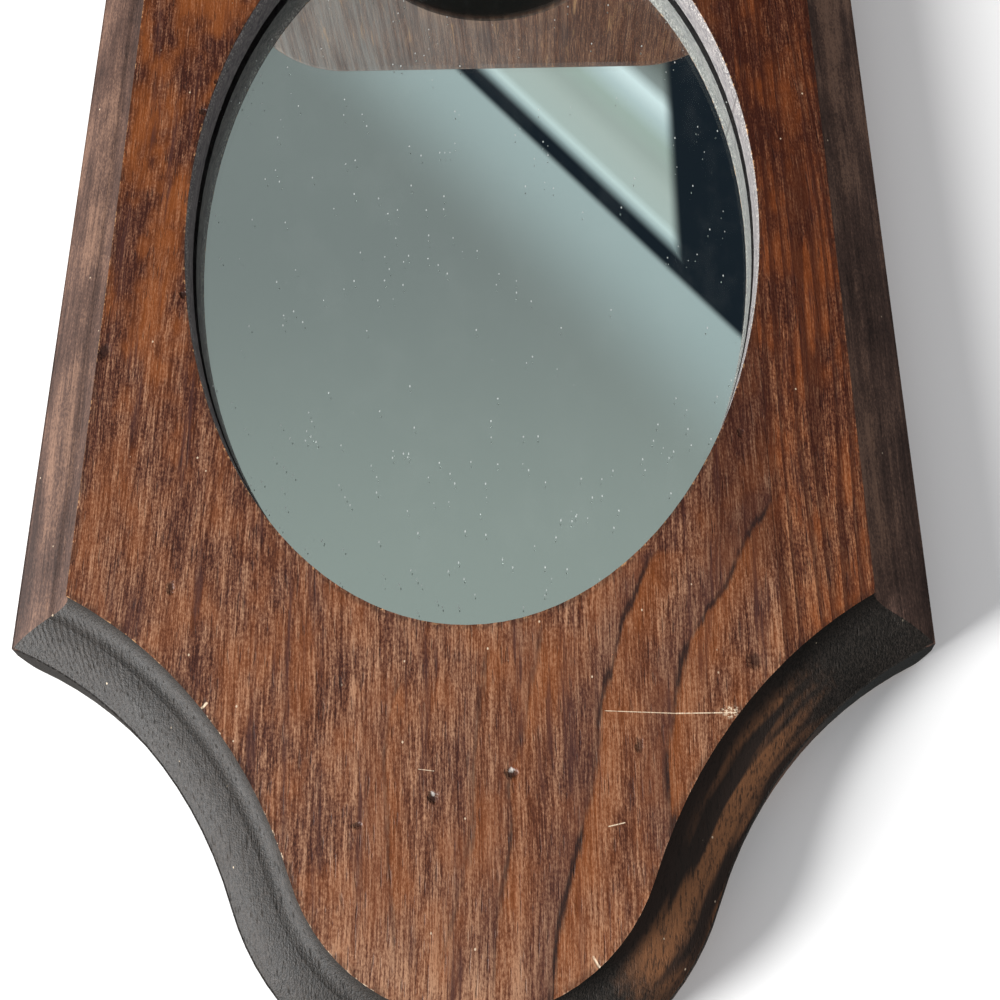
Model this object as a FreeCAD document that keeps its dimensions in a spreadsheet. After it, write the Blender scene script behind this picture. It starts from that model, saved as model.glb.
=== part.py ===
import FreeCAD, Part
import Sketcher
import math
import os
import re

# Wall shaving mirror: a moulded, edge-glued wooden back board with a tongue at its top, an oval
# mirror let in from behind, and a shelf under its foot with a round hole that holds a mug.
#
# Frame: millimetres, +Z up, the front faces -Y, the wall is the plane Y = 0 and +X is to the
# right as seen from the front. The origin is the nail point, under the hanger's middle notch.

# Every driving size, in millimetres.
SIZES = (
    # Back board, measured on its back face.
    ("board_width", 172.4),
    ("board_thickness", 19.0),
    ("board_drop", 288.4),          # nail point down to the board's foot
    ("joint_offset", 55.6),         # centre line to the glue joint, towards -X
    ("tip_rise", 31.5),             # nail point up to the top of the tongue
    ("tip_radius", 45.9),
    ("tip_offset", 1.2),            # the hand-sawn tongue stands off centre, towards -X
    ("sweep_radius", 77.0),         # hollow curve from the tongue out to the shoulder
    ("shoulder_drop", 42.6),        # nail point down to the sharp shoulder corner
    ("shoulder_round", 5.0),
    # Moulded edge: a cove, a swelling and a small ledge over the sloping side.
    ("mould_width", 12.3),
    ("mould_depth", 8.0),
    ("cove_radius", 4.7),
    ("swell_radius", 16.0),
    ("ledge_width", 0.3),
    ("side_slope", 1.5),            # how far the side leans in on its way forward
    ("side_land", 1.5),             # square land left along the back arris
    # Oval opening and the rabbet behind it.
    ("oval_width", 115.9),
    ("oval_height", 175.6),
    ("oval_drop", 133.6),           # nail point down to the oval's centre
    ("lip_thickness", 5.8),         # wood in front of the glass
    ("rabbet_margin", 6.4),
    # Mirror and its backing.
    ("glass_thickness", 2.2),
    ("glass_clearance", 0.5),
    ("backing_thickness", 3.0),
    # Glazier's points that hold the backing.
    ("point_length", 11.0),
    ("point_width", 8.0),
    ("point_thickness", 0.8),
    ("point_reach", 5.0),           # length left standing out over the backing
    # Shelf.
    ("shelf_width", 170.0),
    ("shelf_reach", 131.2),         # in front of the board's face
    ("shelf_thickness", 19.0),
    ("shelf_corner", 30.0),
    ("shelf_round", 3.0),
    ("hole_radius", 44.5),
    ("hole_stand", 59.4),           # board's face to the hole's axis
    ("hole_ease", 1.5),
    # Wood screws, up through the shelf into the board's foot.
    ("screw_length", 38.0),
    ("screw_radius", 2.1),
    ("screw_head_radius", 4.2),
    ("screw_head_height", 2.6),
    ("screw_point", 6.0),
    ("screw_slot_width", 1.1),
    ("screw_slot_depth", 1.1),
    ("screw_spacing", 60.0),
    ("screw_clearance", 0.1),
    # Sawtooth hanger, let into the tongue's back so that the board lies flat on the wall.
    ("hanger_length", 44.0),
    ("hanger_height", 9.5),
    ("hanger_gauge", 0.9),
    ("hanger_tab", 8.0),
    ("hanger_ramp", 2.5),
    ("hanger_gap", 0.1),            # hanger's crown below the board's back face
    ("tooth_pitch", 2.0),
    ("tooth_depth", 1.1),
    ("recess_length", 58.0),
    ("recess_height", 17.0),
    ("recess_depth", 2.6),
    ("recess_low", 6.7),            # nail point down to the recess's lower edge
    # Nails that hold the hanger.
    ("nail_length", 12.0),
    ("nail_radius", 0.75),
    ("nail_head_radius", 2.0),
    ("nail_head_height", 0.6),
    ("nail_point", 2.0),
    ("nail_clearance", 0.05),
    # One overrun serves every cut.
    ("overrun", 3.0),
)

# Sizes that follow from the others. The sweeps' centres are where each hollow curve passes
# through its shoulder's corner and touches the tongue's round from outside. Angles turn
# anticlockwise from +X, as seen from the front.
DERIVED = (
    ("tip_height", "=tip_rise - tip_radius"),
    ("span_up", "=-shoulder_drop - tip_height"),
    ("touch_reach", "=tip_radius + sweep_radius"),
    ("left_across", "=-board_width / 2 + tip_offset"),
    ("left_span", "=sqrt(left_across ^ 2 + span_up ^ 2)"),
    ("left_along", "=(touch_reach ^ 2 - sweep_radius ^ 2 + left_span ^ 2) / (2 * left_span)"),
    ("left_aside", "=sqrt(touch_reach ^ 2 - left_along ^ 2)"),
    ("left_x", "=-tip_offset + (left_across * left_along + span_up * left_aside) / left_span"),
    ("left_z", "=tip_height + (span_up * left_along - left_across * left_aside) / left_span"),
    ("right_across", "=board_width / 2 + tip_offset"),
    ("right_span", "=sqrt(right_across ^ 2 + span_up ^ 2)"),
    ("right_along", "=(touch_reach ^ 2 - sweep_radius ^ 2 + right_span ^ 2) / (2 * right_span)"),
    ("right_aside", "=sqrt(touch_reach ^ 2 - right_along ^ 2)"),
    ("right_x", "=-tip_offset + (right_across * right_along - span_up * right_aside)"
                " / right_span"),
    ("right_z", "=tip_height + (span_up * right_along + right_across * right_aside)"
                " / right_span"),
    ("left_touch", "=atan2(left_z - tip_height; left_x + tip_offset)"),
    ("right_touch", "=atan2(right_z - tip_height; right_x + tip_offset)"),
    ("left_corner", "=atan2(-shoulder_drop - left_z; -board_width / 2 - left_x)"),
    ("right_corner", "=atan2(-shoulder_drop - right_z; board_width / 2 - right_x)"),
    ("rabbet_width", "=oval_width + 2 * rabbet_margin"),
    ("rabbet_height", "=oval_height + 2 * rabbet_margin"),
    ("glass_back", "=board_thickness - lip_thickness - glass_thickness"),
    ("backing_back", "=glass_back - backing_thickness"),
    ("shelf_front", "=board_thickness + shelf_reach"),
    ("hanger_top", "=hanger_height - tooth_depth"),
    ("hanger_bend", "=hanger_length / 2 - hanger_tab"),
    ("hanger_flat", "=hanger_bend - hanger_ramp"),
    ("nail_place", "=(hanger_length - hanger_tab) / 2"),
)

SCREW_COUNT = 3
POINT_COUNT = 6
TOOTH_COUNT = 11

# Share of a point's length, from its inner end, where the kite is widest.
KITE_SHARE = 0.5

# How far the cutter runs on past a shoulder's corner, as an angle round the hollow curve.
RUN_ON = "20 deg"

# Two positions closer than this are the same one.
SAME = 1e-4


def make_sheet(doc):
    """The driving sizes, one aliased cell each."""
    sheet = doc.addObject("Spreadsheet::Sheet", "Sizes")
    for row, (alias, value) in enumerate(SIZES + DERIVED, start=1):
        sheet.set("A%d" % row, alias)
        sheet.set("B%d" % row, str(value))
        sheet.setAlias("B%d" % row, alias)
    doc.recompute()
    return sheet


def linked(text):
    """A formula with each size's name turned into a reference to its cell."""
    names = dict(SIZES + DERIVED)
    return re.sub("[a-z_]+", lambda found: ("Sizes." if found[0] in names else "") + found[0],
                  text)


def tie(item, setting, text):
    """Drives one setting of an object by a formula."""
    item.setExpression(setting, linked(text))


def vector(x, y, z=0.0):
    return FreeCAD.Vector(x, y, z)


def solved(item, across, up):
    """Where a pair of formulas lies now, as the starting point of a drawing."""
    doc = item.Document
    return vector(*(float(doc.Sizes.evalExpression(text)) for text in (across, up)))


def make_body(doc, name):
    body = doc.addObject("PartDesign::Body", name)
    body.Label = name
    return body


def make_sketch(body, name, role):
    """A sketch on one of the body's own origin planes."""
    plane = [item for item in body.Origin.OriginFeatures if item.Role == role][0]
    sketch = body.newObject("Sketcher::SketchObject", name)
    sketch.AttachmentSupport = [(plane, "")]
    sketch.MapMode = "FlatFace"
    return sketch


def dimension(sketch, name, constraint, text):
    """Adds a dimension to a sketch and drives it by a formula."""
    index = sketch.addConstraint(constraint)
    sketch.renameConstraint(index, name)
    tie(sketch, "Constraints." + name, text)


def pin(sketch, edge, end, name, across, up):
    """Holds one end of an edge at a place measured from the sketch's origin."""
    spot = sketch.getPoint(edge, end)
    dimension(sketch, name + "_x", Sketcher.Constraint("DistanceX", -1, 1, edge, end, spot.x),
              across)
    dimension(sketch, name + "_y", Sketcher.Constraint("DistanceY", -1, 1, edge, end, spot.y),
              up)


def round_to(sketch, edge, name, text):
    radius = sketch.Geometry[edge].Radius
    dimension(sketch, name, Sketcher.Constraint("Radius", edge, radius), text)


def add_line(sketch, start, end):
    return sketch.addGeometry(Part.LineSegment(start, end), False)


def add_arc(sketch, centre, start, end, clockwise=False):
    """An arc from start to end. Its own ends run anticlockwise, so a clockwise one is stored
    the other way round."""
    first, last = (end, start) if clockwise else (start, end)
    from_angle = math.atan2(first.y - centre.y, first.x - centre.x)
    to_angle = math.atan2(last.y - centre.y, last.x - centre.x)
    if to_angle < from_angle:
        to_angle += math.tau
    circle = Part.Circle(centre, vector(0, 0, 1), first.distanceToPoint(centre))
    return sketch.addGeometry(Part.ArcOfCircle(circle, from_angle, to_angle), False)


def join_ring(sketch, ends, smooth=()):
    """Makes each edge's leaving end meet the next edge's entering end. Each item is
    (edge, entering end, leaving end). The joints after the edges in smooth are tangent."""
    for (edge, _, leaving), (following, entering, _) in zip(ends, ends[1:] + ends[:1]):
        kind = "Tangent" if edge in smooth else "Coincident"
        sketch.addConstraint(Sketcher.Constraint(kind, edge, leaving, following, entering))


def polygon(sketch, corners):
    """A closed ring of straight lines through corners that are pairs of formulas."""
    spots = [solved(sketch, across, up) for across, up in corners]
    lines = [add_line(sketch, start, end) for start, end in zip(spots, spots[1:] + spots[:1])]
    join_ring(sketch, [(line, 1, 2) for line in lines])
    for number, (line, (across, up)) in enumerate(zip(lines, corners)):
        pin(sketch, line, 1, "corner_%d" % number, across, up)


def ring(sketch, across, up, radius):
    """A circle from the formulas of its centre and its radius."""
    reach = solved(sketch, radius, radius).x
    circle = Part.Circle(solved(sketch, across, up), vector(0, 0, 1), reach)
    edge = sketch.addGeometry(circle, False)
    pin(sketch, edge, 3, "centre", across, up)
    round_to(sketch, edge, "reach", radius)


def oval(sketch, width, height):
    """An upright ellipse round the mirror's centre."""
    centre = solved(sketch, "0 * oval_drop", "-oval_drop")
    axes = solved(sketch, width, height)
    shape = Part.Ellipse(centre + vector(0, axes.y / 2), centre + vector(axes.x / 2, 0), centre)
    edge = sketch.addGeometry(shape, False)
    sketch.exposeInternalGeometry(edge)
    upright = edge + 1
    level = edge + 2
    pin(sketch, edge, 3, "centre", "0", "-oval_drop")
    sketch.addConstraint(Sketcher.Constraint("Vertical", upright))
    dimension(sketch, "height", Sketcher.Constraint("Distance", upright, axes.y), height)
    dimension(sketch, "width", Sketcher.Constraint("Distance", level, axes.x), width)


def extrude(kind, sketch, length, reverse=False):
    """A pad or a pocket of a sketch, in the sketch's own body."""
    body = sketch.getParentGeoFeatureGroup()
    feature = body.newObject("PartDesign::" + kind, sketch.Name + "_" + kind.lower())
    feature.Profile = sketch
    feature.Reversed = reverse
    tie(feature, "Length", length)
    body.Document.recompute()
    return feature


def turn(kind, sketch, angle, reverse=False):
    """A revolution or a groove of a sketch round its own upright axis."""
    body = sketch.getParentGeoFeatureGroup()
    feature = body.newObject("PartDesign::" + kind, sketch.Name + "_" + kind.lower())
    feature.Profile = sketch
    feature.ReferenceAxis = (sketch, ["V_Axis"])
    feature.Reversed = reverse
    tie(feature, "Angle", angle)
    body.Document.recompute()
    return feature


def ease_edges(body, kind, name, setting, size, test):
    """Rounds or bevels the edges of the body so far that pass a test."""
    base = body.Tip
    chosen = ["Edge%d" % number for number, edge in enumerate(base.Shape.Edges, start=1)
              if test(edge, [vertex.Point for vertex in edge.Vertexes])]
    feature = body.newObject("PartDesign::" + kind, name)
    feature.Base = (base, chosen)
    tie(feature, setting, size)
    body.Document.recompute()


def move(body, x="0", y="0", z="0"):
    for axis, text in (("x", x), ("y", y), ("z", z)):
        tie(body, "Placement.Base." + axis, text)


def near(first, second):
    return abs(first - second) < SAME


def outline(sketch):
    """The board's outline, seen from the front: the foot, straight sides, sharp shoulders, two
    hollow sweeps and the tongue's round."""
    tip = solved(sketch, "-tip_offset", "tip_height")
    left_centre = solved(sketch, "left_x", "left_z")
    right_centre = solved(sketch, "right_x", "right_z")
    reach = solved(sketch, "tip_radius", "touch_reach")
    left_touch = tip + (left_centre - tip) * (reach.x / reach.y)
    right_touch = tip + (right_centre - tip) * (reach.x / reach.y)
    left_corner = solved(sketch, "-board_width / 2", "-shoulder_drop")
    right_corner = solved(sketch, "board_width / 2", "-shoulder_drop")
    left_foot = solved(sketch, "-board_width / 2", "-board_drop")
    right_foot = solved(sketch, "board_width / 2", "-board_drop")

    left_side = add_line(sketch, left_foot, left_corner)
    left_sweep = add_arc(sketch, left_centre, left_corner, left_touch)
    round_top = add_arc(sketch, tip, left_touch, right_touch, clockwise=True)
    right_sweep = add_arc(sketch, right_centre, right_touch, right_corner)
    right_side = add_line(sketch, right_corner, right_foot)
    foot = add_line(sketch, right_foot, left_foot)
    join_ring(sketch, [(left_side, 1, 2), (left_sweep, 1, 2), (round_top, 2, 1),
                       (right_sweep, 1, 2), (right_side, 1, 2), (foot, 1, 2)],
              smooth=(left_sweep, round_top))

    pin(sketch, foot, 2, "left_foot", "-board_width / 2", "-board_drop")
    pin(sketch, foot, 1, "right_foot", "board_width / 2", "-board_drop")
    pin(sketch, left_side, 2, "left_corner", "-board_width / 2", "-shoulder_drop")
    pin(sketch, right_side, 1, "right_corner", "board_width / 2", "-shoulder_drop")
    pin(sketch, round_top, 3, "tip", "-tip_offset", "tip_height")
    round_to(sketch, round_top, "tip_round", "tip_radius")
    round_to(sketch, left_sweep, "left_hollow", "sweep_radius")
    round_to(sketch, right_sweep, "right_hollow", "sweep_radius")


def mould_profile(sketch, edge, sense):
    """What the moulding cutter takes away, in a plane square to the board's edge: the cove, the
    swelling, the ledge and the sloping side, then round through the air. The board's outline
    stands at edge and its wood lies on the side that sense (+1 or -1) gives."""

    def inward(text):
        return "%s %s (%s)" % (edge, "+" if sense > 0 else "-", text)

    face = "-board_thickness"
    ledge_height = "mould_depth - board_thickness"
    start = (inward("side_slope + mould_width"), face)
    cove_end = (inward("side_slope + mould_width - cove_radius"), face + " + cove_radius")
    swell_end = (inward("side_slope + ledge_width"), ledge_height)
    ring_round = [swell_end, (inward("side_slope"), ledge_height), (edge, "-side_land"),
                  (inward("-overrun"), "-side_land"), (inward("-overrun"), face + " - overrun"),
                  (start[0], face + " - overrun"), start]

    first = solved(sketch, *start)
    middle = solved(sketch, *cove_end)
    last = solved(sketch, *swell_end)
    step = last - middle
    reach = solved(sketch, "swell_radius", "swell_radius").x
    off_chord = vector(step.y, -step.x) * sense * math.sqrt((reach / step.Length) ** 2 - 0.25)
    backwards = sense < 0
    cove = add_arc(sketch, vector(middle.x, first.y), first, middle, clockwise=backwards)
    swell = add_arc(sketch, middle + step * 0.5 + off_chord, middle, last,
                    clockwise=not backwards)
    spots = [solved(sketch, *item) for item in ring_round]
    lines = [add_line(sketch, here, there) for here, there in zip(spots, spots[1:])]
    cove_ends = (cove, 2, 1) if backwards else (cove, 1, 2)
    swell_ends = (swell, 1, 2) if backwards else (swell, 2, 1)
    join_ring(sketch, [cove_ends, swell_ends] + [(line, 1, 2) for line in lines])

    for number, (line, item) in enumerate(zip(lines, ring_round)):
        pin(sketch, line, 1, "corner_%d" % number, *item)
    pin(sketch, lines[-1], 2, "start", *start)
    pin(sketch, cove, cove_ends[2], "cove_end", *cove_end)
    round_to(sketch, cove, "cove", "cove_radius")
    round_to(sketch, swell, "swell", "swell_radius")


def cut_side(body, name, edge, sense):
    """Moulds one straight side, from below the foot to past the tongue."""
    sketch = make_sketch(body, name, "XY_Plane")
    tie(sketch, "AttachmentOffset.Base.z", "-board_drop - overrun")
    mould_profile(sketch, edge, sense)
    extrude("Pocket", sketch, "board_drop + tip_rise + 2 * overrun", reverse=True)


def cut_round(body, name, centre, radius, sense, start, angle, reverse=False):
    """Moulds one curved stretch. Its profile stands in the plane through the curve's axis at
    the start angle, and is swung round the axis from there."""
    sketch = make_sketch(body, name, "XY_Plane")
    sketch.AttachmentOffset = FreeCAD.Placement(vector(0, 0), FreeCAD.Rotation(vector(0, 1), 1))
    tie(sketch, "AttachmentOffset.Base.x", centre[0])
    tie(sketch, "AttachmentOffset.Base.z", centre[1])
    tie(sketch, "AttachmentOffset.Rotation.Angle", "-(%s)" % start)
    mould_profile(sketch, radius, sense)
    turn("Groove", sketch, angle, reverse)


def make_board(doc):
    """The glued-up blank, moulded along its edge, with the oval, the rabbet and the hanger's
    recess cut. The staves are taken from it."""
    body = make_body(doc, "board")
    sketch = make_sketch(body, "blank", "XZ_Plane")
    outline(sketch)
    extrude("Pad", sketch, "board_thickness")
    corner = solved(sketch, "board_width / 2", "-shoulder_drop")
    ease_edges(body, "Fillet", "shoulders", "Radius", "shoulder_round",
               lambda edge, ends: all(near(abs(end.x), corner.x) and near(end.z, corner.y)
                                      for end in ends))

    cut_side(body, "left_side", "-board_width / 2", 1)
    cut_side(body, "right_side", "board_width / 2", -1)
    cut_round(body, "left_sweep", ("left_x", "left_z"), "sweep_radius", 1,
              "left_touch - 180 deg", "left_touch - 180 deg - left_corner + " + RUN_ON)
    cut_round(body, "right_sweep", ("right_x", "right_z"), "sweep_radius", 1,
              "right_touch + 180 deg", "right_corner - right_touch + 180 deg + " + RUN_ON,
              reverse=True)
    cut_round(body, "tip", ("-tip_offset", "tip_height"), "tip_radius", -1, "left_touch",
              "left_touch - right_touch")

    sketch = make_sketch(body, "sight", "XZ_Plane")
    oval(sketch, "oval_width", "oval_height")
    extrude("Pocket", sketch, "board_thickness + overrun", reverse=True)
    sketch = make_sketch(body, "rabbet", "XZ_Plane")
    oval(sketch, "rabbet_width", "rabbet_height")
    extrude("Pocket", sketch, "board_thickness - lip_thickness", reverse=True)
    sketch = make_sketch(body, "hanger_recess", "XZ_Plane")
    slot(sketch)
    extrude("Pocket", sketch, "recess_depth", reverse=True)
    return body


def slot(sketch):
    """The hanger's recess: a routed slot with round ends."""
    reach = "(recess_length - recess_height) / 2"
    middle = "recess_height / 2 - recess_low"
    high = "recess_height - recess_low"
    low_left = solved(sketch, "-" + reach, "-recess_low")
    low_right = solved(sketch, reach, "-recess_low")
    high_right = solved(sketch, reach, high)
    high_left = solved(sketch, "-" + reach, high)
    bottom = add_line(sketch, low_left, low_right)
    right = add_arc(sketch, solved(sketch, reach, middle), low_right, high_right)
    top = add_line(sketch, high_right, high_left)
    left = add_arc(sketch, solved(sketch, "-" + reach, middle), high_left, low_left)
    join_ring(sketch, [(bottom, 1, 2), (right, 1, 2), (top, 1, 2), (left, 1, 2)])
    pin(sketch, right, 3, "right_end", reach, middle)
    pin(sketch, left, 3, "left_end", "-" + reach, middle)
    pin(sketch, bottom, 1, "low_left", "-" + reach, "-recess_low")
    pin(sketch, bottom, 2, "low_right", reach, "-recess_low")
    sketch.addConstraint(Sketcher.Constraint("Vertical", right, 3, top, 1))
    sketch.addConstraint(Sketcher.Constraint("Vertical", left, 3, top, 2))


def make_oval_plate(doc, name, thickness, back):
    """A flat oval that lies loosely in the rabbet, its back so far in front of the wall: the
    mirror, or the board behind it."""
    body = make_body(doc, name)
    sketch = make_sketch(body, name + "_oval", "XZ_Plane")
    oval(sketch, "rabbet_width - 2 * glass_clearance", "rabbet_height - 2 * glass_clearance")
    extrude("Pad", sketch, thickness)
    move(body, y="-" + back)
    return body


def make_point(doc, number):
    """One glazier's point: a thin kite, its outer half driven level into the rabbet's wall and
    its inner half holding the backing."""
    name = "glazier_point_%d" % number
    body = make_body(doc, name)
    sketch = make_sketch(body, name + "_kite", "XZ_Plane")
    middle = "%s * point_length - point_reach" % KITE_SHARE
    polygon(sketch, [("-point_reach", "0 * point_width"), (middle, "-point_width / 2"),
                     ("point_length - point_reach", "0 * point_width"),
                     (middle, "point_width / 2")])
    extrude("Pad", sketch, "point_thickness", reverse=True)

    angle = 360.0 * number / POINT_COUNT
    across = "rabbet_width / 2 * cos(%s deg)" % angle
    up = "rabbet_height / 2 * sin(%s deg)" % angle
    slope = solved(sketch, across + " / rabbet_width ^ 2", up + " / rabbet_height ^ 2")
    facing = math.degrees(math.atan2(slope.y, slope.x))
    body.Placement = FreeCAD.Placement(vector(0, 0), FreeCAD.Rotation(vector(0, -1), facing))
    move(body, across, "-backing_back", up + " - oval_drop")
    return body


def make_screw(doc, name, number, gap=None):
    """A countersunk wood screw, standing point up, its head let in flush with the shelf's
    underside. With a gap it is the hole that such a screw needs."""
    body = make_body(doc, "%s_%d" % (name, number))
    sketch = make_sketch(body, body.Name + "_half", "XZ_Plane")
    more = " + " + gap if gap else ""
    nothing = "0 * screw_radius"
    polygon(sketch, [(nothing, nothing), ("screw_head_radius" + more, nothing),
                     ("screw_radius" + more, "screw_head_height"),
                     ("screw_radius" + more, "screw_length - screw_point"),
                     (nothing, "screw_length" + more)])
    turn("Revolution", sketch, "360 deg")
    if not gap:
        across = "screw_head_radius + overrun"
        aside = "screw_slot_width / 2"
        sketch = make_sketch(body, body.Name + "_slot", "XY_Plane")
        polygon(sketch, [("-(%s)" % across, "-" + aside), (across, "-" + aside),
                         (across, aside), ("-(%s)" % across, aside)])
        extrude("Pocket", sketch, "screw_slot_depth", reverse=True)
    place = number - (SCREW_COUNT - 1) / 2
    move(body, "%s * screw_spacing" % place, "-board_thickness / 2",
         "-board_drop - shelf_thickness")
    return body


def make_shelf(doc):
    """The shelf: as deep as the board and its own reach together, with round front corners,
    eased edges and the mug's hole."""
    body = make_body(doc, "shelf_blank")
    sketch = make_sketch(body, "plank", "XY_Plane")
    half = "shelf_width / 2"
    inset = "(shelf_width / 2 - shelf_corner)"
    turn_in = "shelf_corner - shelf_front"
    level = "0 * shelf_width"
    places = [(half, level), (half, turn_in), (inset, "-shelf_front"),
              ("-" + inset, "-shelf_front"), ("-" + half, turn_in), ("-" + half, level)]
    spots = [solved(sketch, *place) for place in places]
    right = add_line(sketch, spots[0], spots[1])
    right_round = add_arc(sketch, solved(sketch, inset, turn_in), spots[1], spots[2],
                          clockwise=True)
    nose = add_line(sketch, spots[2], spots[3])
    left_round = add_arc(sketch, solved(sketch, "-" + inset, turn_in), spots[3], spots[4],
                         clockwise=True)
    left = add_line(sketch, spots[4], spots[5])
    rear = add_line(sketch, spots[5], spots[0])
    join_ring(sketch, [(right, 1, 2), (right_round, 2, 1), (nose, 1, 2), (left_round, 2, 1),
                       (left, 1, 2), (rear, 1, 2)])
    ends = [(right, 1), (right, 2), (nose, 1), (nose, 2), (left, 1), (left, 2)]
    for number, ((edge, end), place) in enumerate(zip(ends, places)):
        pin(sketch, edge, end, "corner_%d" % number, *place)
    round_to(sketch, right_round, "round_right", "shelf_corner")
    round_to(sketch, left_round, "round_left", "shelf_corner")
    extrude("Pad", sketch, "shelf_thickness", reverse=True)

    sketch = make_sketch(body, "mug_hole", "XY_Plane")
    ring(sketch, level, "-board_thickness - hole_stand", "hole_radius")
    extrude("Pocket", sketch, "shelf_thickness + overrun")

    def is_outer(edge, ends):
        at_rear = all(near(end.y, 0) for end in ends)
        return len(ends) == 2 and near(ends[0].z, ends[1].z) and not at_rear

    ease_edges(body, "Fillet", "outer_edges", "Radius", "shelf_round", is_outer)
    ease_edges(body, "Chamfer", "hole_edges", "Size", "hole_ease",
               lambda edge, ends: len(ends) == 1)
    move(body, z="-board_drop")
    return body


def make_hanger(doc):
    """The sawtooth hanger: a strip bent back to the wall between its two tabs, with teeth along
    its lower edge. The bent strip meets the toothed outline."""
    strip = make_body(doc, "hanger_strip")
    sketch = make_sketch(strip, "hanger_fold", "XY_Plane")
    floor = "-recess_depth"
    crown = "-hanger_gap"
    half = "hanger_length / 2"
    upper = [("-" + half, floor + " + hanger_gauge"), ("-hanger_bend", floor + " + hanger_gauge"),
             ("-hanger_flat", crown), ("hanger_flat", crown),
             ("hanger_bend", floor + " + hanger_gauge"), (half, floor + " + hanger_gauge")]
    lower = [(half, floor), ("hanger_bend", floor), ("hanger_flat", crown + " - hanger_gauge"),
             ("-hanger_flat", crown + " - hanger_gauge"), ("-hanger_bend", floor),
             ("-" + half, floor)]
    polygon(sketch, upper + lower)
    fold = extrude("Pad", sketch, "2 * (hanger_height + overrun)")
    fold.Midplane = True

    plate = make_body(doc, "hanger_plate")
    sketch = make_sketch(plate, "hanger_teeth", "XZ_Plane")
    corners = [("-" + half, "-tooth_depth")]
    for number in range(TOOTH_COUNT):
        tooth = number - TOOTH_COUNT / 2
        notch = number - (TOOTH_COUNT - 1) / 2
        corners += [("%s * tooth_pitch" % tooth, "-tooth_depth"),
                    ("%s * tooth_pitch" % notch, "0 * tooth_depth")]
    corners += [("%s * tooth_pitch" % (TOOTH_COUNT / 2), "-tooth_depth"),
                (half, "-tooth_depth"), (half, "hanger_top"), ("-" + half, "hanger_top")]
    polygon(sketch, corners)
    extrude("Pad", sketch, "recess_depth + overrun")
    for side, sign in (("left", "-"), ("right", "")):
        sketch = make_sketch(plate, "nail_hole_" + side, "XZ_Plane")
        ring(sketch, sign + "nail_place", "hanger_top / 2", "nail_radius + nail_clearance")
        extrude("Pocket", sketch, "recess_depth + overrun", reverse=True)
    return combine(doc, "Common", "sawtooth_hanger", strip, plate)


def make_nail(doc, name, side, gap=None):
    """A small flat-headed nail through one tab of the hanger. With a gap it is the hole that
    its shank makes."""
    body = make_body(doc, "%s_%s" % (name, side))
    sketch = make_sketch(body, body.Name + "_half", "XY_Plane")
    more = " + " + gap if gap else ""
    less = " - " + gap if gap else ""
    nothing = "0 * nail_radius"
    seat = "hanger_gauge - recess_depth"
    corners = [(nothing, seat + " - nail_length" + less),
               ("nail_radius" + more, seat + " - nail_length + nail_point"),
               ("nail_radius" + more, seat)]
    if not gap:
        corners += [("nail_head_radius", seat), ("nail_head_radius", seat + " + nail_head_height")]
    corners += [(nothing, seat + ("" if gap else " + nail_head_height"))]
    polygon(sketch, corners)
    turn("Revolution", sketch, "360 deg")
    move(body, "-nail_place" if side == "left" else "nail_place", z="hanger_top / 2")
    return body


def combine(doc, kind, name, base, tool):
    """A boolean of two objects: a Cut, or the Common of both."""
    result = doc.addObject("Part::" + kind, name)
    result.Base = base
    result.Tool = tool
    result.Label = name
    return result


def group(doc, name, members):
    result = doc.addObject("Part::Compound", name)
    result.Links = members
    result.Label = name
    return result


def make_stave(doc, name, board, left, cutters):
    """One stave of the glued-up board, from the formula of its left side: what lies on its side
    of the glue joint, less the fixings and their pilot holes."""
    block = doc.addObject("Part::Box", name + "_side")
    tie(block, "Length", "board_width")
    tie(block, "Width", "board_thickness + 2 * overrun")
    tie(block, "Height", "board_drop + tip_rise + 2 * overrun")
    move(block, left, "-board_thickness - overrun", "-board_drop - overrun")
    stave = combine(doc, "Common", name + "_blank", board, block)
    for number, cutter in enumerate(cutters, start=1):
        last = number == len(cutters)
        stave = combine(doc, "Cut", name if last else "%s_cut_%d" % (name, number), stave, cutter)
    return stave


def build(doc):
    """Makes every sub-part and returns the ones to be written."""
    make_sheet(doc)
    board = make_board(doc)
    glass = make_oval_plate(doc, "mirror_glass", "glass_thickness", "glass_back")
    backing = make_oval_plate(doc, "backing_board", "backing_thickness", "backing_back")
    points = group(doc, "glazier_points", [make_point(doc, n) for n in range(POINT_COUNT)])
    screws = group(doc, "shelf_screws",
                   [make_screw(doc, "shelf_screw", n) for n in range(SCREW_COUNT)])
    pilots = group(doc, "screw_pilots",
                   [make_screw(doc, "screw_pilot", n, "screw_clearance")
                    for n in range(SCREW_COUNT)])
    hanger = make_hanger(doc)
    nails = group(doc, "hanger_nails",
                  [make_nail(doc, "hanger_nail", side) for side in ("left", "right")])
    nail_holes = group(doc, "nail_pilots",
                       [make_nail(doc, "nail_pilot", side, "nail_clearance")
                        for side in ("left", "right")])
    shelf = combine(doc, "Cut", "shelf", make_shelf(doc), pilots)
    wide = make_stave(doc, "wide_stave", board, "-joint_offset", [points, nail_holes, pilots])
    narrow = make_stave(doc, "narrow_stave", board, "-joint_offset - board_width",
                        [points, pilots])
    doc.recompute()
    return [wide, narrow, shelf, glass, backing, points, screws, hanger, nails]


def check(doc, parts):
    """Stops before anything is written if a feature failed or a shape is unsound."""
    for item in doc.Objects:
        if "Invalid" in item.State or "Error" in item.State:
            raise RuntimeError("%s failed: %s" % (item.Label, item.State))
    for part in parts:
        if part.Shape.isNull() or not part.Shape.isValid():
            raise RuntimeError("%s has no sound shape" % part.Label)


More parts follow.
